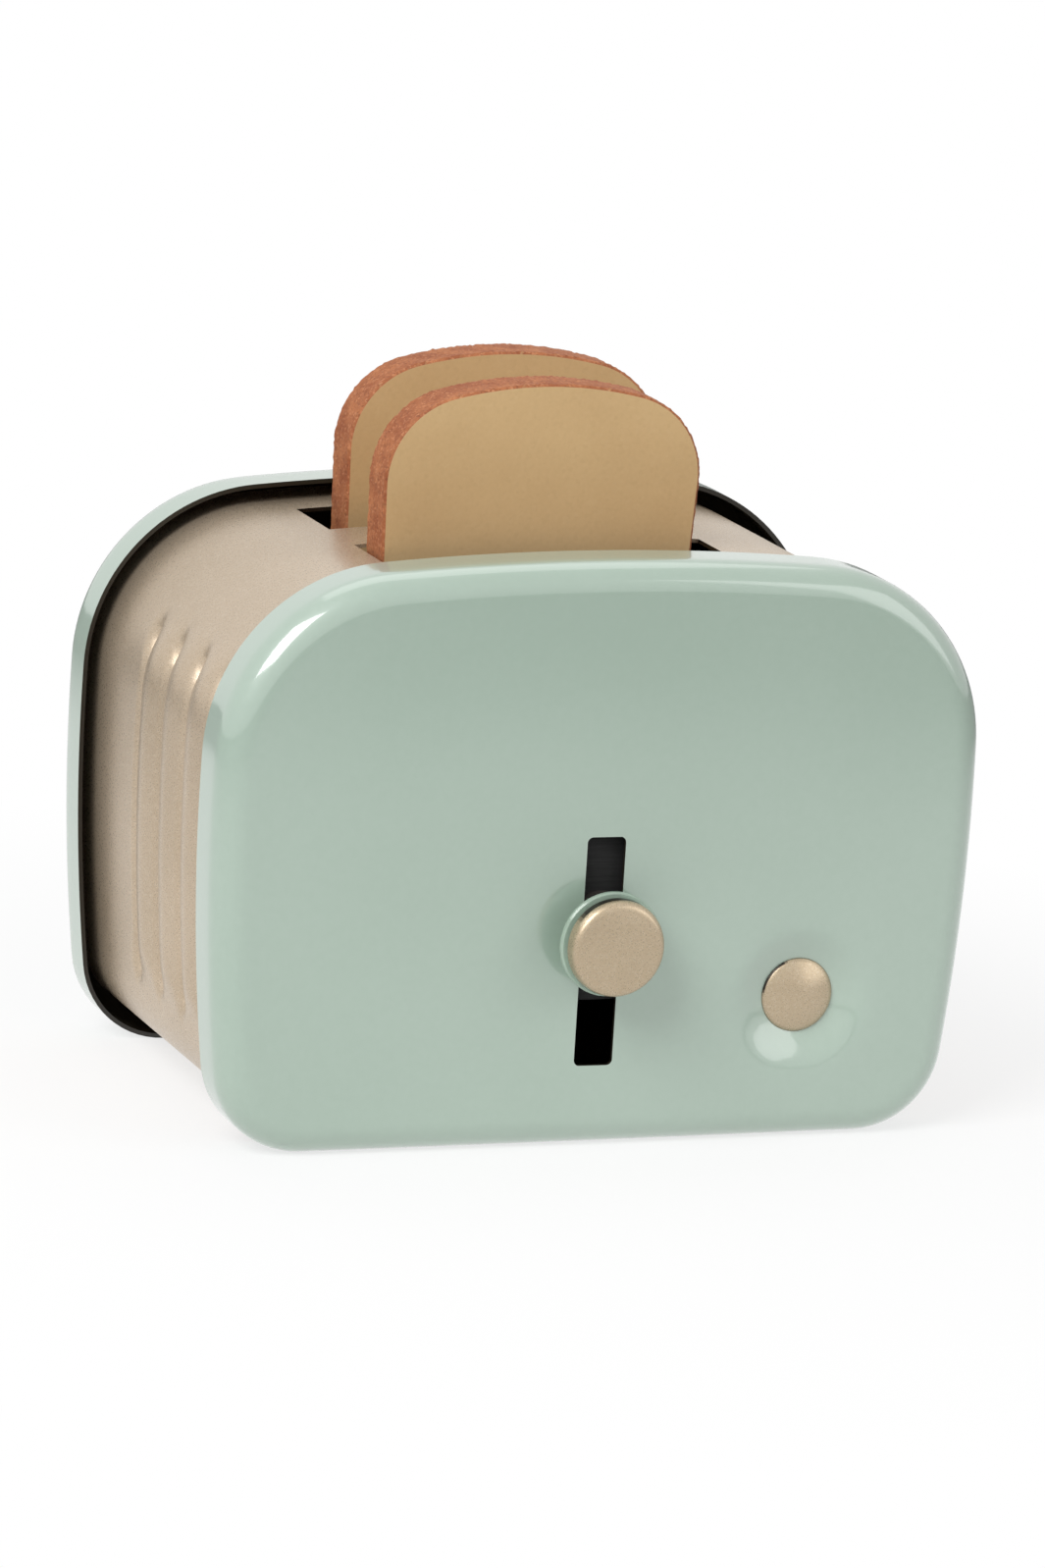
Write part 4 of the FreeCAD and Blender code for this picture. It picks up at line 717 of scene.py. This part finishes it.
# %% Surface from rings
def ring_surface(name, rings, material, poles=(None, None), keep=None, wall=None, closed=False):
    """Rings of points joined by quads into one surface; poles close its ends with fans.

    rings has the shape (ring, point, 3). keep is a mask of the quads that stay, for openings. A wall
    gives the sheet's thickness, added inwards. The order of the corners is turned if faces look in."""
    count, across = rings.shape[:2]
    points = rings.reshape(-1, 3)
    row, column = np.meshgrid(np.arange(count - (not closed)), np.arange(across), indexing="ij")
    after, below = (column + 1) % across, (row + 1) % count
    quads = np.stack([row * across + column, row * across + after,
                      below * across + after, below * across + column], axis=-1)
    quads = quads[keep] if keep is not None else quads.reshape(-1, 4)
    fans = []
    for end, pole in enumerate(poles):
        if pole is not None:
            here = np.arange(across) + end * (count - 1) * across
            pair = np.column_stack([here, np.roll(here, -1)])
            tip = np.full(across, len(points))
            fans.append(np.column_stack([tip, pair[:, ::-1] if end == 0 else pair]))
            points = np.vstack([points, pole])
    corner = points[quads]
    outward = np.cross(corner[:, 2] - corner[:, 0], corner[:, 3] - corner[:, 1])
    if (outward * (corner.mean(axis=1) - points.mean(axis=0))).sum() < 0:
        quads, fans = quads[:, ::-1], [fan[:, ::-1] for fan in fans]
    mesh = bpy.data.meshes.new(name)
    mesh.from_pydata((points * MM).tolist(), [], sum((part.tolist() for part in fans), quads.tolist()))
    item = bpy.data.objects.new(name, mesh)
    scene.collection.objects.link(item)
    if material is not None:
        mesh.materials.append(material)
    if wall:
        sheet = item.modifiers.new("sheet", "SOLIDIFY")
        sheet.thickness, sheet.offset = wall * MM, -1.0
    return item


print("ring surfaces ready")

# %% [markdown]
# ## Finishing a piece
# A piece's modifiers are applied, so that the mesh is final before it takes a node's place. An
# opening is cut with a boolean, because the slot and the button's hole don't follow the cover's
# rings. Then each piece rides on its body, and the imported node it stands for is hidden.

# %% Apply, cut and stand in
SHARP_EDGE = math.radians(35)


def apply_modifiers(item):
    """Keep the result of the modifiers as the mesh, smooth but for its sharp edges."""
    bpy.context.view_layer.update()
    finished = item.evaluated_get(bpy.context.evaluated_depsgraph_get())
    mesh = bpy.data.meshes.new_from_object(finished)
    item.modifiers.clear()
    item.data = mesh
    mesh.name = item.name
    mesh.polygons.foreach_set("use_smooth", np.ones(len(mesh.polygons), bool))
    mesh.set_sharp_from_angle(angle=SHARP_EDGE)
    mesh.update()


def cut_out(item, loop, low, high):
    """Cut a straight-walled opening: the loop of x, z points, carried from y low to y high."""
    ends = np.stack([np.column_stack([loop[:, 0], np.full(len(loop), y), loop[:, 1]]) for y in (low, high)])
    tool = ring_surface("cutting_tool", ends, None, poles=(ends[0].mean(axis=0), ends[1].mean(axis=0)))
    cut = item.modifiers.new("opening", "BOOLEAN")
    cut.operation, cut.solver, cut.object = "DIFFERENCE", "EXACT", tool
    apply_modifiers(item)
    bpy.data.objects.remove(tool)


def stand_in(item, body, node):
    """The piece rides on the node's body, and the node it replaces is hidden."""
    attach(item, body)
    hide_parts(node)
    print(item.name, "faces:", len(item.data.polygons))


def node_box(node):
    """The node's lowest and highest corner in mm."""
    return [np.array(corner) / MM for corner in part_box(node)]


print("piece helpers ready")

# %% [markdown]
# ## Covers
# Each cover is a pan drawn from one sheet: a flat face, an edge rolled over 90 degrees and a short
# flange. A bevelled box would give neither the bow nor the dish. Here rings of the outline run from
# the face's middle outwards, round the edge and back along the flange. The face bows from side to
# side by a quarter of a millimetre, which bends its reflections, and the finger dish is a shallow
# bowl with a soft rim in the same rings.

# %% Cover rings
EDGE_RADIUS, FLANGE_LENGTH, COVER_SHEET, FACE_BOW = 2.6, 6.0, 0.4, 0.25
BUTTON_CENTRE = np.array([19.2, 12.7])
DISH_RADIUS, DISH_DEPTH, DISH_SOFTNESS = 5.8, 1.85, 0.5
FACE_RINGS, EDGE_RINGS, FLANGE_RINGS = 86, 10, 3
FACE_MIDDLE = np.array([0.0, COVER_HEIGHT / 2])


def dish_depth(x, z):
    """A bowl, depth * (1 - (d / radius)^2), joined to the face by a smooth maximum with zero."""
    distance = np.hypot(x - BUTTON_CENTRE[0], z - BUTTON_CENTRE[1])
    bowl = DISH_DEPTH * (1 - (distance / DISH_RADIUS) ** 2)
    return 0.5 * (bowl + np.sqrt(bowl ** 2 + DISH_SOFTNESS ** 2))


def cover_rings(face_y, inwards, dished):
    """Face rings grow from the middle; edge rings follow a quarter circle; flange rings go straight."""
    outline = toaster_outline()
    place, normal = outline[:, :2], outline[:, 2:]
    inner = place - EDGE_RADIUS * normal
    share = np.linspace(1, FACE_RINGS, FACE_RINGS)[:, None, None] / FACE_RINGS
    face = FACE_MIDDLE + share * (inner - FACE_MIDDLE)
    turn = np.linspace(0, math.pi / 2, EDGE_RINGS + 1)[1:, None, None]
    edge = place - EDGE_RADIUS * (1 - np.sin(turn)) * normal
    flange = np.broadcast_to(place, (FLANGE_RINGS, *place.shape))
    flat = np.concatenate([face, edge, flange])
    depth = np.concatenate([np.zeros((len(face), 1)), EDGE_RADIUS * (1 - np.cos(turn[:, :, 0])),
                            np.linspace(EDGE_RADIUS, FLANGE_LENGTH, FLANGE_RINGS + 1)[1:, None]])
    depth = depth + FACE_BOW * (flat[..., 0] / HALF_WIDTH) ** 2
    if dished:
        depth = depth + dish_depth(flat[..., 0], flat[..., 1])
    depth = np.minimum(depth, FLANGE_LENGTH)
    rings = np.stack([flat[..., 0], face_y + inwards * depth, flat[..., 1]], axis=-1)
    return rings, np.array([FACE_MIDDLE[0], face_y, FACE_MIDDLE[1]])


print("dish depth at its middle:", round(float(dish_depth(*BUTTON_CENTRE)), 2), "mm")

# %% [markdown]
# ### Front and rear cover
# The front cover has the lever's slot and, in the dish, the button's hole, both punched straight
# through the sheet. The rear cover is the same pan turned round, without dish or openings.

# %% Front and rear cover
FACE_Y, BACK_Y = -20.5, 25.5
SLOT_HALF_WIDTH, SLOT_BOTTOM, SLOT_TOP, SLOT_CORNER, SLOT_CORNER_POINTS = 1.775, 7.35, 27.65, 0.55, 6
BUTTON_HOLE, BUTTON_HOLE_POINTS = 3.3, 64
PUNCH_REACH, DISH_PUNCH_REACH = 1.0, 3.5


def rounded_slot(half_width, bottom, top, corner):
    """A rectangle whose corners are quarter circles."""
    right, high, low = half_width - corner, top - corner, bottom + corner
    centres = ((right, low), (right, high), (-right, high), (-right, low))
    starts = (-math.pi / 2, 0.0, math.pi / 2, math.pi)
    return np.vstack([arc(np.array(centre), corner, start, start + math.pi / 2, SLOT_CORNER_POINTS)[:, :2]
                      for centre, start in zip(centres, starts)])


rings, pole = cover_rings(FACE_Y, 1, True)
front = ring_surface("front_cover_skin", rings, MINT, poles=(pole, None), wall=COVER_SHEET)
lever_slot = rounded_slot(SLOT_HALF_WIDTH, SLOT_BOTTOM, SLOT_TOP, SLOT_CORNER)
button_hole = arc(BUTTON_CENTRE, BUTTON_HOLE, 0, 2 * math.pi, BUTTON_HOLE_POINTS)[:, :2]
cut_out(front, lever_slot, FACE_Y - PUNCH_REACH, FACE_Y + PUNCH_REACH)
cut_out(front, button_hole, FACE_Y - PUNCH_REACH, FACE_Y + DISH_PUNCH_REACH)
stand_in(front, "shell", "front_cover")
rings, pole = cover_rings(BACK_Y, -1, False)
back = ring_surface("rear_cover_skin", rings, MINT, poles=(pole, None), wall=COVER_SHEET)
apply_modifiers(back)
stand_in(back, "shell", "rear_cover")

# %% [markdown]
# ## Flutes
# Each side of the band carries four pressed flutes: narrow grooves with a dimple at both ends, and
# between them the sheet swells slightly, so the light changes from pleat to pleat. They could be
# bump in the paint, but bump leaves an outline straight. So all of it is one height in mm over the
# sheet, which later moves the band's points.

# %% Flute height
FLUTE_Y = np.array([-10.205, -3.935, 2.335, 8.605])
FLUTE_PITCH, FLUTE_LOW, FLUTE_HIGH = 6.27, 10.2, 40.2
GROOVE_DEPTH, GROOVE_WIDTH, GROOVE_END = 0.42, 0.40, 1.2
LOW_DIMPLE, HIGH_DIMPLE, DIMPLE_WIDTH, DIMPLE_HEIGHT = 1.1, 0.75, 0.75, 1.2
PLEAT_HEIGHT, PLEAT_BELOW, PLEAT_RISE, PLEAT_ABOVE, PLEAT_FALL = 0.55, 2.0, 4.0, 4.0, 7.0


def smooth_step(value):
    """0 below 0, 1 above 1, and 3 v^2 - 2 v^3 between, which starts and ends level."""
    value = np.clip(value, 0, 1)
    return value * value * (3 - 2 * value)


def flute_height(y, z):
    """Grooves and end dimples are bell curves; the pleats are a squared sine between the grooves."""
    away = y[..., None] - FLUTE_Y
    beyond = np.maximum(np.maximum(FLUTE_LOW - z, z - FLUTE_HIGH), 0)[..., None]
    grooves = GROOVE_DEPTH * np.exp(-(away / GROOVE_WIDTH) ** 2 - (beyond / GROOVE_END) ** 2)
    dimples = 0
    for end, depth in ((FLUTE_LOW, LOW_DIMPLE), (FLUTE_HIGH, HIGH_DIMPLE)):
        along = (z[..., None] - end) / DIMPLE_HEIGHT
        dimples = dimples + depth * np.exp(-(away / DIMPLE_WIDTH) ** 2 - along ** 2)
    wave = np.sin(math.pi * (y - FLUTE_Y[0]) / FLUTE_PITCH) ** 2
    window = ((y > FLUTE_Y[0]) & (y < FLUTE_Y[-1])) * smooth_step((z - FLUTE_LOW + PLEAT_BELOW) / PLEAT_RISE)
    window = window * smooth_step((FLUTE_HIGH + PLEAT_ABOVE - z) / PLEAT_FALL)
    return PLEAT_HEIGHT * wave * window - grooves.sum(axis=-1) - dimples.sum(axis=-1)


print("height at a low dimple:", flute_height(FLUTE_Y[:1], np.array([FLUTE_LOW])).round(2), "mm")

# %% [markdown]
# ## Body band
# The band is one strip bent round the outline, a little inside the covers. Its points are the
# outline's, moved along the normals by the flute height. The bread slots need no boolean: the grid
# has lines along their edges, and the quads between those are left out.

# %% Band
BAND_FRONT, BAND_BACK, BAND_SHEET, LINE_SPACING = -19.9, 24.9, 0.35, 0.42
SLOT_X = (-17.0, 15.2)
SLOT_Y = ((-8.5, 0.5), (7.1, 16.1))
TOP_FROM = 40.0
SIDEWAYS_FROM, SIDEWAYS_BLEND = 0.45, 0.35


def band_rings():
    """Outline moved in by the inset less the flute height, repeated at every y line."""
    outline = toaster_outline(SLOT_X)
    stops = np.array([BAND_FRONT, *SLOT_Y[0], *SLOT_Y[1], BAND_BACK])
    lines = np.unique(np.concatenate([
        np.linspace(low, high, max(3, round((high - low) / LINE_SPACING)) + 1)
        for low, high in zip(stops, stops[1:])]).round(4))
    y, x0 = np.meshgrid(lines, outline[:, 0], indexing="ij")
    z0 = np.broadcast_to(outline[:, 1], y.shape)
    normal_x, normal_z = outline[:, 2], outline[:, 3]
    sideways = smooth_step((np.abs(normal_x) - SIDEWAYS_FROM) / SIDEWAYS_BLEND)
    lift = flute_height(y, z0) * sideways - BAND_INSET
    rings = np.stack([x0 + lift * normal_x, y, z0 + lift * normal_z], axis=-1)
    pairs = rings[:-1] + rings[1:]
    middle = 0.25 * (pairs + np.roll(pairs, -1, 1))
    over_slot = (middle[..., 0] > SLOT_X[0]) & (middle[..., 0] < SLOT_X[1]) & (middle[..., 2] > TOP_FROM)
    along = sum((middle[..., 1] > low) & (middle[..., 1] < high) for low, high in SLOT_Y) > 0
    return rings, ~(over_slot & along)


rings, keep = band_rings()
band = ring_surface("band_skin", rings, BAND_PAINT, keep=keep, wall=BAND_SHEET)
apply_modifiers(band)
stand_in(band, "shell", "body_band")

# %% [markdown]
# ## Turned pieces
# Knob, washer and button are round about an axis along Y. The Spin tool or a Screw modifier would
# turn a profile too. Here the profile of radius and depth, from the front centre to the back centre,
# becomes rings for the same surface as before.

# %% Turned pieces
CORNER_POINTS, TURN_STEPS = 7, 72


def rounded_edge(radius_from, y_from, corner):
    """A quarter circle from facing forwards to facing sideways."""
    turn = np.linspace(0, math.pi / 2, CORNER_POINTS)
    return np.column_stack([radius_from + corner * np.sin(turn), y_from + corner * (1 - np.cos(turn))])


def turned_piece(name, profile, centre, material, solid=True):
    """Each profile point (radius, y) becomes a ring about the centre x, z; with a bore it isn't solid."""
    turn = np.linspace(0, 2 * math.pi, TURN_STEPS, endpoint=False)
    radius, y = profile[:, 0, None], profile[:, 1, None]
    rings = np.stack([centre[0] + radius * np.cos(turn), y + 0 * turn,
                      centre[1] + radius * np.sin(turn)], axis=-1)
    ends = (None, None)
    if solid:
        ends = tuple(np.array([centre[0], profile[end, 1], centre[1]]) for end in (0, -1))
    item = ring_surface(name, rings, material, poles=ends, closed=not solid)
    apply_modifiers(item)
    return item


print("points round a turned piece:", TURN_STEPS)

# %% [markdown]
# ### Lever knob
# The knob is a flat cap with a slight crown and a rolled edge. Its shank goes through the slot to
# the carriage, where its end is upset like a rivet. It could be a cap and a separate pin, but one
# profile leaves no seam between them.

# %% Lever knob
CAP_RADIUS, CAP_EDGE, CAP_CROWN, CAP_THICKNESS = 4.25, 0.75, 0.3, 2.0
SHANK_RADIUS, UPSET_RADIUS, UPSET_FLAT, UPSET_LENGTH, UPSET_CORNER = 1.5, 2.3, 1.9, 0.5, 0.2
EDGE_BREAK, FIRST_RING, LAST_RING, CROWN_POINTS = 0.15, 0.25, 0.3, 12
KNOB_CENTRE = (0.0, 18.8)
knob_low, knob_high = node_box("lever_knob")
knob_front, knob_back, cap_back = knob_low[1], knob_high[1], knob_low[1] + CAP_THICKNESS
cap_face = CAP_RADIUS - CAP_EDGE
crown_radius = np.linspace(FIRST_RING, cap_face, CROWN_POINTS)
crown = np.column_stack([crown_radius, knob_front + CAP_CROWN * (crown_radius / cap_face) ** 2])
shank = [[CAP_RADIUS, cap_back - EDGE_BREAK], [CAP_RADIUS - EDGE_BREAK, cap_back], [SHANK_RADIUS, cap_back],
         [SHANK_RADIUS, knob_back - UPSET_LENGTH], [UPSET_RADIUS, knob_back - UPSET_LENGTH],
         [UPSET_RADIUS, knob_back - UPSET_CORNER], [UPSET_FLAT, knob_back], [LAST_RING, knob_back]]
knob_profile = np.vstack([crown, rounded_edge(cap_face, knob_front + CAP_CROWN, CAP_EDGE)[1:], shank])
knob = turned_piece("lever_knob_cap", knob_profile, KNOB_CENTRE, KNOB_PAINT)
stand_in(knob, "lever", "lever_knob")

# %% [markdown]
# ### Clear washer
# The washer behind the knob shows as a pale crescent at its left. A disc with a boolean hole would
# do. A closed profile turned round the bore gives the same ring, with no ends to close.

# %% Clear washer
WASHER_RADIUS, WASHER_BORE = 4.6, 1.56
washer_low, washer_high = node_box("knob_washer")
washer_front, washer_back = washer_low[1], washer_high[1]
washer_face = WASHER_RADIUS - EDGE_BREAK
washer_profile = np.array([
    [WASHER_BORE, washer_back], [WASHER_BORE, washer_front], [washer_face, washer_front],
    [WASHER_RADIUS, washer_front + EDGE_BREAK], [WASHER_RADIUS, washer_back - EDGE_BREAK],
    [washer_face, washer_back]])
washer = turned_piece("clear_washer", washer_profile, KNOB_CENTRE, WASHER, solid=False)
stand_in(washer, "lever", "knob_washer")

# %% [markdown]
# ### Push button
# The button is a low dome in the dish. Behind the cover a flange stops it from falling out, and a
# stem guides it in its cup. A bare dome would look the same from afar, but the gap round it lets one
# see in.

# %% Push button
BUTTON_RADIUS, BUTTON_DOME, RIM_WIDTH, RIM_DROP, DOME_FIRST_RING = 3.27, 0.94, 0.12, 0.1, 0.2
FLANGE_RADIUS, FLANGE_FRONT, FLANGE_THICKNESS, STEM_RADIUS = 4.1, 2.02, 0.45, 1.2
button_low, button_high = node_box("button")
dome_front, stem_back, flange_y = button_low[1], button_high[1], FACE_Y + FLANGE_FRONT
dome = np.linspace(DOME_FIRST_RING, BUTTON_RADIUS - RIM_WIDTH, CROWN_POINTS)
dome_profile = np.column_stack([dome, dome_front + (BUTTON_DOME - RIM_DROP) * (dome / BUTTON_RADIUS) ** 2])
stem = [[BUTTON_RADIUS, dome_front + BUTTON_DOME], [BUTTON_RADIUS, flange_y], [FLANGE_RADIUS, flange_y],
        [FLANGE_RADIUS, flange_y + FLANGE_THICKNESS], [STEM_RADIUS, flange_y + FLANGE_THICKNESS],
        [STEM_RADIUS, stem_back - EDGE_BREAK], [STEM_RADIUS - EDGE_BREAK, stem_back], [LAST_RING, stem_back]]
button = turned_piece("push_button_dome", np.vstack([dome_profile, stem]), BUTTON_CENTRE, KNOB_PAINT)
stand_in(button, "push_button", "button")

# %% [markdown]
# ## Return spring
# The button's spring is packed as a real coil of square wire, so there is no need to make another.
# A copy of its mesh is welded, because an imported mesh is loose triangles.

# %% Return spring
WELD_DISTANCE, BUTTON_TRAVEL = 0.000002, 0.001
spring_mesh = nodes["button_spring"].data.copy()
weld = bmesh.new()
weld.from_mesh(spring_mesh)
bmesh.ops.remove_doubles(weld, verts=weld.verts, dist=WELD_DISTANCE)
weld.to_mesh(spring_mesh)
weld.free()
spring = bpy.data.objects.new("return_spring", spring_mesh)
scene.collection.objects.link(spring)
spring_mesh.materials.clear()
spring_mesh.materials.append(SPRING_STEEL)
stand_in(spring, "shell", "button_spring")
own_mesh(spring)

# %% [markdown]
# ## Toast slices
# A slice is a board cut to a loaf's outline: an arched top, round shoulders and sides that draw in
# towards the foot. It is another chain of arcs and straight lines, with many points, because the
# cut edge is roughened point by point.

# %% Slice outline
SLICE_WIDTH, SLICE_HEIGHT, SLICE_CROWN, SLICE_SHOULDER, SLICE_TAPER = 29.2, 30.9, 36.0, 7.8, 0.8
STRAIGHT_POINTS, CURVE_POINTS, ARCH_POINTS = 50, 40, 70


def straight(start, end, turn):
    """Points from start to end, without the last, whose normals all point along the angle turn."""
    share = np.linspace(0, 1, STRAIGHT_POINTS, endpoint=False)[:, None]
    normals = np.tile([math.cos(turn), math.sin(turn)], (STRAIGHT_POINTS, 1))
    return np.hstack([start + share * (end - start), normals])


def slice_outline(foot_z):
    """Right side up, shoulder, arched top, left shoulder, left side down and the foot, about x = 0."""
    shoulder_x, top = SLICE_WIDTH / 2 - SLICE_SHOULDER, foot_z + SLICE_HEIGHT
    arch = np.array([0.0, top - SLICE_CROWN])
    shoulder_z = arch[1] + math.sqrt((SLICE_CROWN - SLICE_SHOULDER) ** 2 - shoulder_x ** 2)
    shoulder = np.array([shoulder_x, shoulder_z])
    turn = math.atan2(shoulder_z - arch[1], shoulder_x)
    foot = np.array([SLICE_WIDTH / 2 - SLICE_TAPER, foot_z])
    run = shoulder - foot
    lean = math.atan2(-run[1], -run[0]) + math.acos(SLICE_SHOULDER / np.hypot(*run))
    leave = shoulder + SLICE_SHOULDER * np.array([math.cos(lean), math.sin(lean)])
    return np.vstack([
        straight(foot, leave, lean), arc(shoulder, SLICE_SHOULDER, lean, turn, CURVE_POINTS),
        arc(arch, SLICE_CROWN, turn, math.pi - turn, ARCH_POINTS),
        arc(shoulder * MIRROR, SLICE_SHOULDER, math.pi - turn, math.pi - lean, CURVE_POINTS),
        straight(leave * MIRROR, foot * MIRROR, math.pi - lean),
        straight(foot * MIRROR, foot, -math.pi / 2)])


print("slice outline points:", len(slice_outline(0.0)))

# %% [markdown]
# ### Board with a rough cut edge
# Rings of the outline run from the middle of the front, over a small broken edge, along the cut and
# back to the middle of the rear. A bump alone would leave the silhouette smooth, so seeded noise
# moves the cut's points along the normals. The slice leans forward a little in its wide slot, as in
# the photograph.

# %% Slices
SLICE_EDGE, SLICE_LEAN, SLICE_SHIFT, CRUST_ROUGHNESS = 0.25, 0.055, -0.3, 0.03
BOARD_RINGS, CUT_RINGS, EDGE_SHARE = 10, 9, 0.8
generator = np.random.default_rng(7)


def slice_piece(name, node):
    """Depth across the board is a profile of inset and y; the lean moves y with height."""
    low, high = node_box(node)
    outline = slice_outline(low[2])
    middle = np.array([(low[0] + high[0]) / 2 + SLICE_SHIFT, (low[2] + high[2]) / 2])
    place, normal = outline[:, :2] + [middle[0], 0], outline[:, 2:]
    inner = place - SLICE_EDGE * normal
    share = np.linspace(1 / BOARD_RINGS, 1, BOARD_RINGS)[:, None, None]
    face = middle + share * (inner - middle)
    rough = generator.normal(0, CRUST_ROUGHNESS, (CUT_RINGS, len(place), 1))
    cut = place + (rough - CRUST_ROUGHNESS) * normal
    flat = np.concatenate([face, cut, face[::-1]])
    corner = SLICE_EDGE * EDGE_SHARE
    across = np.linspace(low[1] + corner, high[1] - corner, CUT_RINGS)
    depth = np.concatenate([np.full(BOARD_RINGS, low[1]), across, np.full(BOARD_RINGS, high[1])])[:, None]
    rings = np.stack([flat[..., 0], depth - SLICE_LEAN * (flat[..., 1] - low[2]), flat[..., 1]], axis=-1)
    poles = [np.array([middle[0], y - SLICE_LEAN * (middle[1] - low[2]), middle[1]])
             for y in (low[1], high[1])]
    item = ring_surface(name, rings, TOAST, poles=poles)
    apply_modifiers(item)
    return item


for name, node, body in (("front_toast", "front_bread_slice", "front_slice"),
                         ("rear_toast", "rear_bread_slice", "rear_slice")):
    stand_in(slice_piece(name, node), body, node)

# %% [markdown]
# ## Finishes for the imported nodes
# The rails, cup, cradles, rivets, spacer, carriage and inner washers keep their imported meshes, whose
# shapes are right. Every node gets its finish in its first material slot. The replaced ones are
# hidden, and get theirs too, so that the list is complete.

# %% Dress the CAD nodes
FINISHES = {
    "front_cover": MINT, "rear_cover": MINT, "body_band": BAND_PAINT, "seam_rivets": RIVET_STEEL,
    "guide_rail_left": TIN, "guide_rail_right": TIN, "button_cup": TIN, "button_spring": SPRING_STEEL,
    "button": KNOB_PAINT, "lever_knob": KNOB_PAINT, "knob_washer": WASHER, "knob_spacer": RIVET_STEEL,
    "friction_washer": FIBRE, "retainer_washer": RIVET_STEEL, "carriage": SLOT_SHADE_BLACK,
    "front_bread_cradle": TIN, "rear_bread_cradle": TIN, "cradle_rivets": RIVET_STEEL,
    "front_bread_slice": TOAST, "rear_bread_slice": TOAST,
}
for label, item in nodes.items():
    item.data.materials.clear()
    item.data.materials.append(FINISHES[label])
print("finished", len(FINISHES), "nodes")
